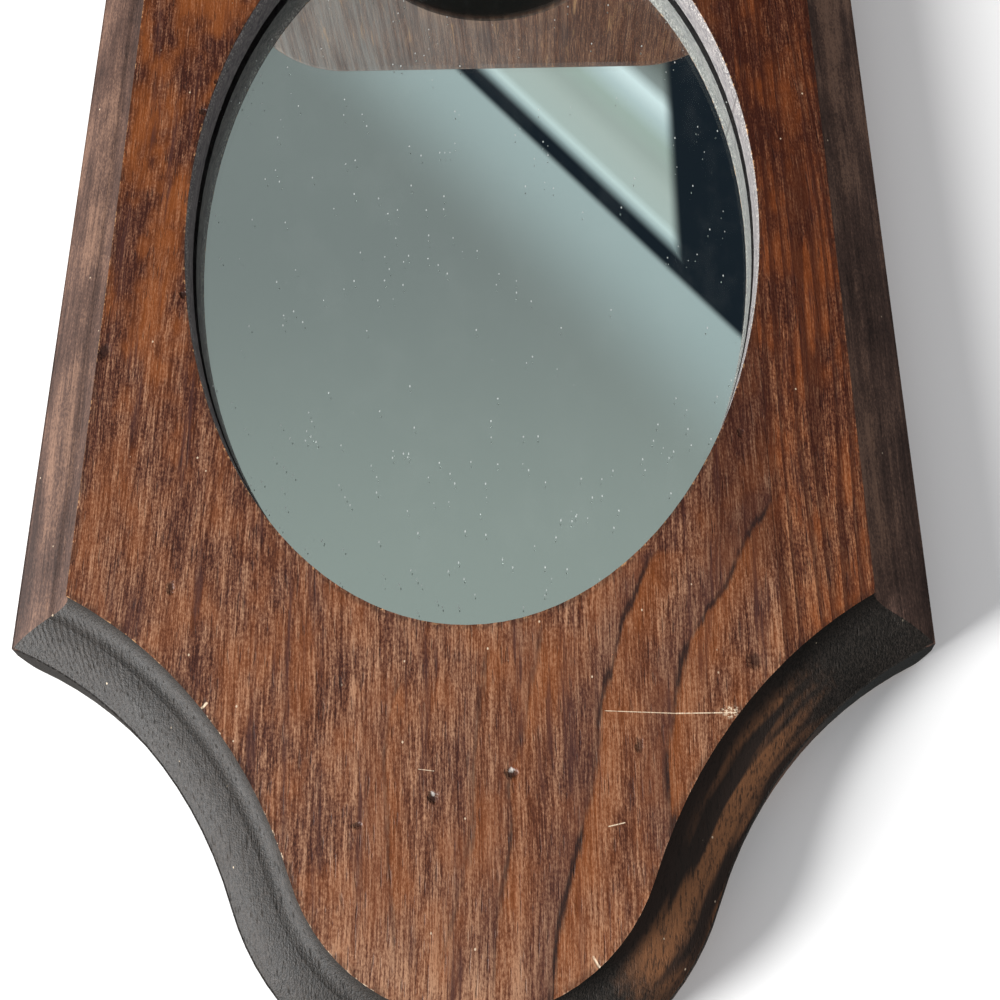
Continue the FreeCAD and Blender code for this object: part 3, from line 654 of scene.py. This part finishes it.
# The first so many of them get a painted highlight, a smaller pale spot at their lower side.
PAINTED_HIGHLIGHT_DENTS = 2
HIGHLIGHT_SIZE = 0.42
HIGHLIGHT_LOWER = 0.45
# A scuff where the long scratch runs off the edge, in the same form.
SCUFF = (-45.3, -30.4, 2.0, 1.4, 1.0)

# Pale scratches and chips in the face: both ends (x, z) and the half width.
SCRATCHES = (
    (-23.9, -30.6, -36.0, -30.1, 0.11),
    (-36.0, -30.1, -46.4, -30.2, 0.16),
    (-23.9, -11.5, -26.6, -12.1, 0.14),
    (-20.8, 8.6, -21.8, 10.2, 0.26),
    (45.9, -31.4, 45.2, -32.2, 0.34),
    (8.0, -20.9, 5.4, -20.6, 0.09),
)

SPOT_STEP = (1.0, 0.25)
SCRATCH_CORE = 0.2
DENT_DEPTH_STEP = (FACE_Y + 0.6, FACE_Y + 0.3)
SCATTER_PITCH = 1.3

RUBBED_PATCHES = (((0.55, 0.55, 0.30), 3.0, 0.7), (0.46, 0.56))
SPARSE_PATCHES = ((1.3, 2.0), (0.48, 0.60))
RIGHT_WEAR_STEP = (-30.0, 5.0, 0.12, 1.0)
ARRIS_STEP = (0.22, 0.06, 0.0, 0.75)
ARRIS_DEPTH_STEP = (FACE_Y + 0.5, FACE_Y + 0.15)
LIP_STEP = (0.45, 0.15, 0.0, 0.60)
LIP_DEPTH_STEP = (FACE_Y + 0.5, FACE_Y + 0.2)
LIP_PATCHES = ((1.1, 2.0), (0.57, 0.66))
BRIGHTER_STEP = (SHOULDER_Z - 2.0, SHOULDER_Z + 14.0)
# Stain has gathered and darkened just inside both edges.
MARGIN_STAIN_STEP = (1.6, 0.2, 0.0, 0.45)
OVAL_STAIN_STEP = (1.4, 0.2, 0.0, 0.45)
# How dark the painted shade in dents is, and how pale their painted highlight.
DENT_PAINTED_SHADE_SHARE = 0.80
PAINTED_HIGHLIGHT_SHARE = 0.60
CUT_PATCHES = ((1.1, 2.0), (0.34, 0.48, 0.35, 1.0))
SCUFF_PATCHES = (((1.8, 1.8, 2.6), 3.0, 0.7), (0.48, 0.58))
CUT_SHARE = 0.85
SPECK_PITCH = (0.55, 0.55, 0.40)
SPECK_STEP = (0.12, 0.05, 0.0, 0.65)
SPECK_CHANCE_STEP = (0.92, 0.94)


def spots(tree, flat, marks, shrink=1.0, lower=0.0):
    """The deepest of the given dents at a point of the face."""
    found = []
    for x, z, wide, tall, depth in marks:
        offset = tree.vector("SUBTRACT", flat, (x, 0.0, z - lower * tall))
        offset = tree.vector("MULTIPLY", offset, (1 / (wide * shrink), 0.0,
                                                  1 / (tall * shrink)))
        found.append(tree.step(tree.vector("LENGTH", offset), *SPOT_STEP, 0.0, depth))
    return tree.most(*found)


def lines(tree, flat, marks):
    """The nearest of the given scratches at a point of the face, from 0 to 1."""
    found = []
    for x0, z0, x1, z1, width in marks:
        run = Vector((x1 - x0, 0.0, z1 - z0))
        offset = tree.vector("SUBTRACT", flat, (x0, 0.0, z0))
        share = tree.math("DIVIDE", tree.vector("DOT_PRODUCT", offset, run),
                          run.length_squared, clamp=True)
        foot = tree.vector("MULTIPLY", tree.join(share, share, share), run)
        found.append(tree.step(tree.vector("DISTANCE", offset, foot), width,
                               width * SCRATCH_CORE))
    return tree.most(*found)


def worn_edges(tree, at, shade):
    """Adds pale worn arrises round the face and round the oval, broken up by the grain, and
    the stain that has gathered inside them."""
    rubbed = tree.patches(at.place, RUBBED_PATCHES)
    arris = tree.within((tree.size(at.margin), ARRIS_STEP), (at.y, ARRIS_DEPTH_STEP),
                        (at.x, RIGHT_WEAR_STEP))
    arris = tree.times(arris, rubbed, tree.patches(at.place, SPARSE_PATCHES))
    lip = tree.within((tree.size(at.oval), LIP_STEP), (at.y, LIP_DEPTH_STEP))
    lip = tree.times(lip, tree.patches(at.place, LIP_PATCHES))
    shade = tree.mix(arris, shade, tree.mix(tree.step(at.z, *BRIGHTER_STEP), WORN, CHIPPED))
    shade = tree.mix(lip, shade, WORN)
    gathered = tree.most(tree.step(at.margin, *MARGIN_STAIN_STEP),
                         tree.step(at.oval, *OVAL_STAIN_STEP))
    gathered = tree.times(gathered, at.on_face, tree.invert(rubbed))
    return tree.mix(gathered, shade, PORE_AND_DENT_SHADE)


def damage(tree, at, shade):
    """Adds dents (painted shade, and a painted highlight in some), scratches and specks of bare
    wood. Returns the shade, dents and scratches.
    """
    flat = tree.vector("MULTIPLY", at.place, (1.0, 0.0, 1.0))
    scatter = tree.node("TexNoise")
    tree.feed(scatter.inputs["Vector"], at.place)
    scatter.inputs["Scale"].default_value = SCATTER_PITCH
    ragged = tree.vector("ADD", flat, tree.vector("SUBTRACT", scatter.outputs["Color"],
                                                  (0.5, 0.0, 0.5)))
    near_face = tree.step(at.y, *DENT_DEPTH_STEP)
    # Dents are painted darker as painted shade, and the first few get a painted highlight.
    dents = tree.times(spots(tree, ragged, DENTS), near_face)
    painted_highlight = tree.times(spots(tree, ragged, DENTS[:PAINTED_HIGHLIGHT_DENTS], HIGHLIGHT_SIZE, HIGHLIGHT_LOWER),
                       near_face)
    shade = tree.mix(tree.times(dents, DENT_PAINTED_SHADE_SHARE), shade, PORE_AND_DENT_SHADE)
    shade = tree.mix(tree.times(painted_highlight, PAINTED_HIGHLIGHT_SHARE), shade, BARE_SPECK_AND_HIGHLIGHT)

    cuts = tree.times(lines(tree, flat, SCRATCHES), at.on_face,
                      tree.patches(at.place, CUT_PATCHES))
    scuffed = tree.times(spots(tree, ragged, (SCUFF,)), at.on_face,
                         tree.patches(at.place, SCUFF_PATCHES))
    shade = tree.mix(tree.times(tree.most(cuts, scuffed), CUT_SHARE), shade, CHIPPED)

    away, chance = tree.cells(at.place, SPECK_PITCH)
    specks = tree.within((away, SPECK_STEP), (chance, SPECK_CHANCE_STEP))
    return tree.mix(specks, shade, CHIPPED), dents, cuts


# The staves

# Each stave's grain seed, its stain's contrast and warmth, its tone beside the oval and left of
# the tongue, and what lies over the stain.
WIDE_STAVE = SimpleNamespace(name="wide_stave_stained", seed=1, contrast=1.0, orange=0.6,
                             oval_tone=0.30, left_tone=-0.06, dress=figured_face)
NARROW_STAVE = SimpleNamespace(name="narrow_stave_stained", seed=2, contrast=0.9, orange=1.0,
                               oval_tone=0.26, left_tone=0.02, dress=ringed_face)

END_NOISE = (3.4, 2.0, 0.6)
# End grain's rings stand out at the right shoulder: their slant, waver, pitch and height.
RIDGE_SLANT = 1.5
RIDGE_WAVER = {"streaks": 1.5}
RIDGE_PITCH = 4.6
RIDGE_STEP = (52.0, 72.0, 0.0, 0.18)
WOOD_BUMP = {"fibres": 0.45, "grit": 0.45, "hairs": 0.35, "pores": -0.45}
DENT_BUMP = -2.6
CUT_BUMP = -0.3
JOINT_BUMP = -0.25
BOARD_BUMP = {"depth": 0.12, "strength": 0.9}
WOOD_ROUGHNESS = {"fibres": 0.16, "mottle": 0.12, "pores": 0.2}
BARE_ROUGHNESS = 0.2
EDGE_ROUGHNESS_STEP = (0.0, 1.0, 0.22, 0.16)
BOARD_ROUGHNESS = 0.27
WOOD_SPECULAR = 0.28


def board_material(stave):
    """The stained board: face, moulded edge, the oval's wall, joint, back and wear."""
    material, tree = new_material(stave.name)
    at = board_place(tree)
    wood = grain(tree, at.place, stave.seed)

    face = stave.dress(tree, wood, at, board_stain(tree, wood, at, stave))
    on_flat = tree.times(at.on_face, tree.step(at.margin, *FACE_EDGE_STEP))
    shade = tree.mix(on_flat, moulded(tree, wood, at), face)
    shade = bare_wood(tree, wood, at, shade)
    joint = tree.step(tree.size(tree.minus(at.x, JOINT_X)), *JOINT_STEP)
    shade = tree.mix(tree.times(joint, JOINT_SHARE), shade, PORE_AND_DENT_SHADE)
    shade = worn_edges(tree, at, shade)
    shade, dents, cuts = damage(tree, at, shade)

    off_face = tree.invert(at.on_face)
    ridge_place = toned(tree, wood, RIDGE_WAVER, tree.add(at.x, tree.times(at.y, RIDGE_SLANT)))
    ridges = tree.times(tree.math("SINE", tree.times(ridge_place, RIDGE_PITCH)),
                        tree.step(at.x, *RIDGE_STEP))
    rough_end = tree.times(tree.add(tree.noise(at.place, *END_NOISE), ridges), at.end_grain,
                           off_face)
    height = tree.add(mark_sum(tree, wood, WOOD_BUMP), tree.times(dents, DENT_BUMP),
                      tree.times(cuts, CUT_BUMP), tree.times(joint, JOINT_BUMP), rough_end)
    bare = tree.most(at.on_back, at.in_opening)
    edge_roughness = tree.times(off_face, tree.step(at.end_grain, *EDGE_ROUGHNESS_STEP))
    roughness = tree.add(mark_sum(tree, wood, WOOD_ROUGHNESS), tree.times(bare, BARE_ROUGHNESS),
                         edge_roughness, BOARD_ROUGHNESS)
    finish_material(tree, shade, roughness, height, **BOARD_BUMP,
                    Specular_IOR_Level=WOOD_SPECULAR)
    return material


# The shelf

SHELF_SEED = 3
SHELF_CONTRAST = 1.1
SHELF_ORANGE = 0.1
SHELF_TONE = 0.30
SHELF_ENDS_STEP = (0.35, 0.75)
SHELF_END_MARKS = {"grit": 0.7, "mottle": 0.3}
SHELF_END_RAMP = ((0.34, SHELF_END_DARK), (0.64, SHELF_END_LIGHT))
SHELF_PITCH = 3.4
SHELF_RING_SHARE = 0.45
# A painted sheen greys the top, more towards the window, and the top is rougher there.
SHELF_TOP_STEP = (SHELF_TOP - 0.8, SHELF_TOP - 0.1)
SHEEN_STEP = (-50.0, 65.0, 0.10, 0.85)
SHEEN_MARKS = {"streaks": 1.6}
SHEEN_MIDDLE = 0.75
HOLE_STEP = (HOLE_RADIUS + 1.2, HOLE_RADIUS + 0.2)
HOLE_SHARE = 0.8
# It is rubbed pale where mugs are set down and lifted out.
RIM_STEP = (HOLE_RADIUS + 9.0, HOLE_RADIUS + 1.5, 0.0, 0.20)
RIM_STREAK_STEP = (0.40, 0.65)
SHELF_SCUFF_PATCHES = (((0.5, 0.05, 0.5), 3.0, 0.7), (0.60, 0.70))
SHELF_SCUFF_SHARE = 0.25
SHELF_BUMP_MARKS = {"fibres": 0.45, "grit": 0.25, "pores": -0.45}
SHELF_BUMP = {"depth": 0.12, "strength": 0.8}
SHELF_ROUGHNESS_MARKS = {"fibres": 0.20, "mottle": 0.15}
SCUFF_ROUGHNESS = 0.15
SHEEN_ROUGHNESS = 0.2
SHELF_ROUGHNESS = 0.22


def shelf_material():
    """The shelf's stained plank, its grain running from front to back."""
    material, tree = new_material("shelf_wood_stained")
    place, normal = object_place(tree)
    x, y, z = tree.split(place)
    wood = grain(tree, tree.join(x, z, y), SHELF_SEED)
    shade = stained(tree, wood, SHELF_CONTRAST, SHELF_ORANGE, SHELF_TONE)
    ends = tree.step(tree.size(tree.split(normal)[1]), *SHELF_ENDS_STEP)
    across = tree.ramp(mark_sum(tree, wood, SHELF_END_MARKS), *SHELF_END_RAMP)
    rings = straight_rings(tree, wood, SHELF_PITCH)
    across = tree.mix(tree.times(rings, SHELF_RING_SHARE), across, END_DARK)
    shade = tree.mix(ends, shade, across)
    # Painted sheen: the top greys towards the window.
    painted_sheen = tree.times(tree.within((z, SHELF_TOP_STEP), (x, SHEEN_STEP)),
                      toned(tree, wood, SHEEN_MARKS, SHEEN_MIDDLE))
    shade = tree.mix(painted_sheen, shade, SHELF_PAINTED_SHEEN)
    away = tree.vector("DISTANCE", tree.join(x, y, 0.0), (0.0, HOLE_Y, 0.0))
    in_hole = tree.step(away, *HOLE_STEP)
    shade = tree.mix(tree.times(in_hole, HOLE_SHARE), shade, END_DARK)
    rim = tree.within((away, RIM_STEP), (wood["streaks"], RIM_STREAK_STEP))
    shade = tree.mix(tree.times(rim, tree.invert(in_hole)), shade, STAIN_LIGHT)
    scuffs = tree.times(tree.patches(place, SHELF_SCUFF_PATCHES), tree.invert(ends))
    shade = tree.mix(tree.times(scuffs, SHELF_SCUFF_SHARE), shade, WORN)
    roughness = tree.add(mark_sum(tree, wood, SHELF_ROUGHNESS_MARKS),
                         tree.times(scuffs, SCUFF_ROUGHNESS),
                         tree.times(painted_sheen, SHEEN_ROUGHNESS), SHELF_ROUGHNESS)
    finish_material(tree, shade, roughness, mark_sum(tree, wood, SHELF_BUMP_MARKS), **SHELF_BUMP,
                    Specular_IOR_Level=WOOD_SPECULAR)
    return material


# The backing and the steel fixings

FIBRE_FINE_NOISE = (1.6, 4.0, 0.7)
FIBRE_CLUMP_NOISE = (0.12, 3.0)
FIBRE_WEIGHTS = (0.65, 0.35)
FIBRE_RAMP = ((0.34, colour(84, 58, 36)), (0.66, colour(134, 98, 64)))
FIBRE_HAIR = colour(60, 42, 28)
HAIR_PLACE = (3.0, 0.0, 9.0)
HAIR_PITCH = (0.9, 0.9, 0.35)
HAIR_STEP = (0.16, 0.06, 0.0, 0.5)
FIBRE_ROUGHNESS = (0.58, 0.25)
FIBRE_BUMP = {"depth": 0.10, "strength": 0.6}

STEEL_SHIFT = (13.0, 5.0, 31.0)
MARK_DETAIL = (3.0, 0.6)
DULL_PATCHES = ((0.45, 3.0, 0.6), (0.35, 0.65))
PIT_PATCHES = ((1.6, 3.0, 0.7), (0.58, 0.68))
DRAWN_SHARE = 0.35
RUST = colour(104, 58, 34)
RUST_COVER = 0.9
DRAWN_ROUGHNESS = 0.18
RUST_ROUGHNESS = 0.35
STEEL_BUMP_WEIGHTS = (0.5, -0.5)
STEEL_BUMP = {"depth": 0.03, "strength": 0.6}


def hardboard_material():
    """Pressed brown fibre board."""
    material, tree = new_material("hardboard_pressed")
    place, _ = object_place(tree)
    fine = tree.noise(place, *FIBRE_FINE_NOISE)
    clumps = tree.noise(place, *FIBRE_CLUMP_NOISE)
    hair, _ = tree.cells(tree.vector("ADD", place, HAIR_PLACE), HAIR_PITCH)
    shade = tree.ramp(tree.weighted(*zip((fine, clumps), FIBRE_WEIGHTS)), *FIBRE_RAMP)
    shade = tree.mix(tree.step(hair, *HAIR_STEP), shade, FIBRE_HAIR)
    lowest, rise = FIBRE_ROUGHNESS
    finish_material(tree, shade, tree.add(lowest, tree.times(fine, rise)), fine,
                    **FIBRE_BUMP)
    return material


def steel_material(name, light, dark, rust, seed, pitch, roughness):
    """Plain steel fixings: drawn or rolled marks, dull patches and spots of rust."""
    material, tree = new_material(name)
    place, _ = object_place(tree)
    place = tree.vector("ADD", place, tuple(seed * shift for shift in STEEL_SHIFT))
    drawn = tree.noise(place, pitch, *MARK_DETAIL)
    pits = tree.patches(place, PIT_PATCHES)
    rusted = tree.times(pits, rust)
    shade = tree.mix(tree.patches(place, DULL_PATCHES), dark, light)
    shade = tree.mix(tree.times(drawn, DRAWN_SHARE), shade, dark)
    shade = tree.mix(rusted, shade, RUST)
    metal = tree.math("SUBTRACT", 1.0, tree.times(rusted, RUST_COVER), clamp=True)
    rough = tree.add(roughness, tree.times(drawn, DRAWN_ROUGHNESS),
                     tree.times(rusted, RUST_ROUGHNESS))
    finish_material(tree, shade, rough, tree.weighted(*zip((drawn, pits), STEEL_BUMP_WEIGHTS)),
                    links=(("Metallic", metal),), **STEEL_BUMP)
    return material


# The mirror

GLASS_CLEAR = colour(243, 249, 246)
GLASS_DULL = colour(206, 212, 208)
GLASS_IOR = 1.52
GLASS_FRONT_STEP = (GLASS_FRONT + 0.05, GLASS_FRONT + 0.01)
RIM_FRONT_STEP = (GLASS_FRONT + 0.01, GLASS_FRONT + 0.05)
RIM_BACK_STEP = (GLASS_BACK - 0.01, GLASS_BACK - 0.05)
# Three sizes of dust: waves to a millimetre, a speck's radius in them, how rare it is where
# the dust is thin, and the part of that which thick dust takes off.
DUST_SIZES = (((0.22, 0.22, 0.22), 0.05, 0.84, 0.30),
              ((0.50, 0.50, 0.30), 0.085, 0.90, 0.45),
              ((1.00, 1.00, 0.50), 0.16, 0.95, 0.50))
# The dust is thicker towards the upper end, and in swarms.
THICK_STEP = (-110.0, -55.0, 0.0, 0.5)
SWARM_PATCHES = (((0.09, 0.09, 0.07), 2.0), (0.50, 0.66, 0.0, 0.5))
DUST_CORE = 0.4
DUST_SHARE = 0.60
SMEAR_PATCHES = (((0.08, 0.08, 0.05), 4.0, 0.7), (0.45, 0.75, 0.0, 0.012))
RIM_DULLNESS = 0.7
DULL_ROUGHNESS = 0.6

SILVER = colour(238, 242, 240)
TARNISH = colour(176, 176, 170)
TARNISH_PATCHES = ((0.25, 4.0, 0.65), (0.56, 0.70))
TARNISH_PLACE_STEP = (-2.0, 4.0)
TARNISH_ROUGHNESS = 0.12
# The silver's sheet: its place inside the plate's back face and edge, and its corners.
SILVER_DEPTHS = (GLASS_BACK - 0.04, GLASS_BACK - 0.02)
SILVER_INSET = 0.15
SILVER_CORNERS = 180


def glass_material():
    """Clear plate with dust on its front and dull ground edges."""
    material, tree = new_material("mirror_plate_glass")
    place, _ = object_place(tree)
    _, y, z = tree.split(place)
    front = tree.step(y, *GLASS_FRONT_STEP)
    rim = tree.within((y, RIM_FRONT_STEP), (y, RIM_BACK_STEP))
    thick = tree.add(tree.step(z, *THICK_STEP), tree.patches(place, SWARM_PATCHES))
    specks = []
    for pitch, radius, rare, taken_off in DUST_SIZES:
        away, chance = tree.cells(place, pitch)
        rarity = tree.minus(rare, tree.times(thick, rare * taken_off))
        specks.append(tree.times(tree.step(away, radius, radius * DUST_CORE),
                                 tree.math("GREATER_THAN", chance, rarity)))
    dust = tree.times(tree.most(*specks), front)
    smear = tree.times(tree.patches(place, SMEAR_PATCHES), front)
    opaque = tree.most(tree.times(dust, DUST_SHARE), smear, tree.times(rim, RIM_DULLNESS))
    dull = tree.most(dust, rim)
    finish_material(tree, tree.mix(dull, GLASS_CLEAR, GLASS_DULL),
                    tree.times(dull, DULL_ROUGHNESS),
                    links=(("Transmission Weight", tree.invert(opaque)),), IOR=GLASS_IOR)
    return material


def silver_material():
    """The silvering behind the plate, with a few faint tarnished spots near its edge."""
    material, tree = new_material("mirror_silvering")
    place, _ = object_place(tree)
    x, _, z = tree.split(place)
    tarnish = tree.times(tree.patches(place, TARNISH_PATCHES),
                         tree.step(oval_place(tree, x, z), *TARNISH_PLACE_STEP))
    finish_material(tree, tree.mix(tarnish, SILVER, TARNISH),
                    tree.times(tarnish, TARNISH_ROUGHNESS), Metallic=1.0)
    return material


def silver_sheet():
    """A skin of silver just inside the plate's back face, as wide as the plate."""
    margin = RABBET_MARGIN - GLASS_CLEARANCE - SILVER_INSET
    wide, tall = (half + margin for half in OVAL_HALF)
    count = SILVER_CORNERS
    verts = []
    for depth in SILVER_DEPTHS:
        for i in range(count):
            turn = 2 * math.pi * i / count
            verts.append((wide * math.cos(turn) * MM, depth * MM,
                          (OVAL_Z + tall * math.sin(turn)) * MM))
    faces = [tuple(range(count)), tuple(range(2 * count - 1, count - 1, -1))]
    for i in range(count):
        j = (i + 1) % count
        faces.append((j, i, i + count, j + count))
    mesh = bpy.data.meshes.new("mirror_silver")
    mesh.from_pydata(verts, [], faces)
    mesh.validate()
    piece = add_object("mirror_silver", mesh)
    mesh.materials.append(silver_material())
    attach(piece, "root")


# The stage

STAGE_GAP = 0.6
STAGE_HALF = 1500.0
PAPER_LIGHT = colour(244, 244, 243)
PAPER_DARK = colour(225, 225, 224)
PAPER_NOISE = (0.5, 3.0)
PAPER_SHARE = 0.04


def paper_material():
    """Pale paper, clear from behind."""
    material, tree = new_material("stage_paper")
    fine = tree.noise(object_place(tree)[0], *PAPER_NOISE)
    paper = tree.node("BsdfDiffuse", tree.mix(tree.times(fine, PAPER_SHARE), PAPER_LIGHT,
                                              PAPER_DARK))
    clear = tree.node("BsdfTransparent")
    behind = tree.node("NewGeometry").outputs["Backfacing"]
    both = tree.node("MixShader", behind, paper.outputs[0], clear.outputs[0])
    tree.feed(tree.node("OutputMaterial").inputs[0], both.outputs[0])
    return material


def stage_plane():
    """The pale surface that the back lies against. It shows to the camera and nowhere else."""
    corners = [(sx * STAGE_HALF * MM, STAGE_GAP * MM, (OVAL_Z + sz * STAGE_HALF) * MM)
               for sx, sz in ((-1, -1), (1, -1), (1, 1), (-1, 1))]
    mesh = bpy.data.meshes.new("stage_surface")
    mesh.from_pydata(corners, [], [(0, 1, 2, 3)])
    surface = add_object("stage_surface", mesh)
    mesh.materials.append(paper_material())
    for ray in ("shadow", "diffuse", "glossy", "transmission"):
        setattr(surface, "visible_" + ray, False)


# The world

AMBIENT = colour(190, 190, 192)
BACKDROP = colour(236, 236, 236)
ROOM_GREY = colour(134, 140, 140)
ROOM_LOW = colour(157, 165, 162)
ROOM_PALE = colour(174, 188, 191)
ROOM_DARK = colour(28, 36, 44)
ROOM_FLOOR = colour(6, 6, 8)
ROOM_WINDOW = colour(145, 146, 148)
ROOM_FAR_SIDE = colour(70, 72, 74)
# Places in the room are (x, z) for one unit of -y. This is the least -y that they are for.
LEAST_AHEAD = 0.05
# The edge of a pale wall in the room, by two points of it.
WALL_EDGE = ((0.0567, -0.8484), (-0.2121, -0.5372))
# From the edge on, a pale band fades into grey.
BAND_STEP = (0.150, 0.01)
LOW_STEP = (-0.66, -0.20)
# A dark stripe along the edge, and a dark field past the panel's end, beyond the edge.
STRIPE_WIDTH = 0.0065
STRIPE_START_STEP = (STRIPE_WIDTH * 2.0, STRIPE_WIDTH * 0.6)
STRIPE_END_STEP = (-STRIPE_WIDTH * 2.6, -STRIPE_WIDTH * 0.8)
PANEL_END = -0.1565
PANEL_END_STEP = (PANEL_END + 0.004, PANEL_END - 0.010)
# Shades across a pale box that stands beyond the wall's edge, from its far side to the edge.
BOX_DEPTH = 0.19
BOX_SHADES = ((0.0, colour(92, 90, 88)), (0.16, colour(118, 124, 122)),
              (0.25, colour(146, 154, 154)), (0.33, colour(235, 250, 255)),
              (0.42, colour(200, 216, 220)), (0.52, colour(176, 190, 184)),
              (0.62, colour(175, 185, 181)), (0.72, colour(188, 198, 195)),
              (0.84, colour(188, 200, 198)), (0.885, colour(214, 230, 232)),
              (0.93, colour(160, 176, 180)), (1.0, colour(150, 166, 170)))
# The rest of the room, by directions.
FACING_STEP = (-0.45, -0.70)
FAR_SIDE_STEP = (-0.35, -0.75)
WINDOW_ACROSS_STEP = (0.20, 0.45)
WINDOW_UP_STEP = (-0.05, 0.30)
FLOOR_EDGE = -0.885
FLOOR_STEP = (FLOOR_EDGE, FLOOR_EDGE - 0.02)
FLOOR_AHEAD_STEP = (0.0, -0.1)


def facing_side(tree, a, b):
    """What the mirror faces, at the place (a, b): a grey room, a pale wall and a pale box."""
    (a0, b0), (a1, b1) = WALL_EDGE
    length = math.hypot(a1 - a0, b1 - b0)
    normal = ((b1 - b0) / length, -(a1 - a0) / length)
    # Distance from the wall's edge, positive towards the pale band.
    beyond = tree.add(tree.times(a, normal[0]), tree.times(b, normal[1]),
                      -(a0 * normal[0] + b0 * normal[1]))
    grey = tree.mix(tree.step(b, *LOW_STEP), ROOM_GREY, ROOM_LOW)
    shade = tree.mix(tree.step(beyond, *BAND_STEP), grey, ROOM_PALE)
    box = tree.ramp(tree.divide(tree.add(beyond, BOX_DEPTH), BOX_DEPTH), *BOX_SHADES)
    shade = tree.mix(tree.step(beyond, 0.0, -STRIPE_WIDTH), shade, box)
    stripe = tree.within((beyond, STRIPE_START_STEP), (beyond, STRIPE_END_STEP))
    past_panel = tree.within((beyond, STRIPE_START_STEP), (a, PANEL_END_STEP))
    return tree.mix(tree.most(stripe, past_panel), shade, ROOM_DARK)


def room():
    """The world: even light, and for reflections a plain room with a window to one side."""
    world = bpy.data.worlds.new("room")
    bpy.context.scene.world = world
    tree = Tree(world)
    x, y, z = tree.split(tree.node("TexCoord").outputs["Generated"])
    ahead = tree.most(tree.times(y, -1.0), LEAST_AHEAD)
    a, b = tree.divide(x, ahead), tree.divide(z, ahead)
    shade = tree.mix(tree.step(y, *FACING_STEP), ROOM_GREY, facing_side(tree, a, b))
    shade = tree.mix(tree.step(x, *FAR_SIDE_STEP), shade, ROOM_FAR_SIDE)
    window = tree.within((x, WINDOW_ACROSS_STEP), (z, WINDOW_UP_STEP))
    shade = tree.mix(window, shade, ROOM_WINDOW)
    floor = tree.within((b, FLOOR_STEP), (y, FLOOR_AHEAD_STEP))
    shade = tree.mix(floor, shade, ROOM_FLOOR)
    path = tree.node("LightPath").outputs
    reflected = tree.most(path["Is Glossy Ray"], path["Is Transmission Ray"])
    shade = tree.mix(reflected, AMBIENT, shade)
    shade = tree.mix(path["Is Camera Ray"], shade, BACKDROP)
    background = tree.node("Background", shade, 1.0)
    tree.feed(tree.node("OutputWorld").inputs[0], background.outputs[0])


# The light and the camera

KEY_FROM = (0.86, -0.37, 0.40)
KEY_DISTANCE = 2.0
KEY_SIZE = 0.75
KEY_POWER = 106.0
AIM = (0.0, -0.0095, -0.10)


def key_light():
    """A soft round lamp, aimed at the board."""
    light = bpy.data.lights.new("key", "AREA")
    light.shape = "DISK"
    light.size = KEY_SIZE
    light.energy = KEY_POWER
    lamp = add_object("key", light)
    away = Vector(KEY_FROM).normalized()
    lamp.location = Vector(AIM) + away * KEY_DISTANCE
    lamp.rotation_euler = away.to_track_quat("Z", "Y").to_euler()
    lamp.visible_camera = False


def photo_camera():
    data = bpy.data.cameras.new("photo_camera")
    data.lens = CAMERA_LENS
    data.sensor_width = CAMERA_SENSOR
    data.clip_start, data.clip_end = CAMERA_CLIP
    camera = add_object("photo_camera", data)
    turn = Matrix((CAMERA_RIGHT, CAMERA_UP, CAMERA_BACK)).transposed()
    camera.matrix_world = Matrix.Translation(CAMERA_PLACE) @ turn.to_4x4()
    bpy.context.scene.camera = camera


# The scene

# Steel: light and dark shades, rust, seed, its marks' waves to a millimetre, and roughness.
POINT_STEEL = (colour(186, 184, 178), colour(130, 128, 124), 0.5, 1, (0.4, 3.0, 0.4), 0.38)
SCREW_STEEL = (colour(150, 146, 140), colour(92, 88, 84), 0.7, 2, (0.5, 0.5, 6.0), 0.34)
HANGER_STEEL = (colour(200, 194, 178), colour(150, 142, 124), 0.35, 3, (0.3, 3.0, 5.0), 0.30)


def dress(node, material):
    """Gives a CAD node its material."""
    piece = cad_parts[node]
    if not piece.material_slots:
        piece.data.materials.append(material)
    for slot in piece.material_slots:
        slot.material = material


dress("wide_stave", board_material(WIDE_STAVE))
dress("narrow_stave", board_material(NARROW_STAVE))
dress("shelf", shelf_material())
dress("mirror_glass", glass_material())
dress("backing_board", hardboard_material())
dress("glazier_points", steel_material("point_steel_rolled", *POINT_STEEL))
dress("shelf_screws", steel_material("screw_steel_turned", *SCREW_STEEL))
hanger_steel = steel_material("hanger_steel_pressed", *HANGER_STEEL)
dress("sawtooth_hanger", hanger_steel)
dress("hanger_nails", hanger_steel)
silver_sheet()
stage_plane()
room()
key_light()
photo_camera()
bpy.context.scene.view_settings.view_transform = "Standard"
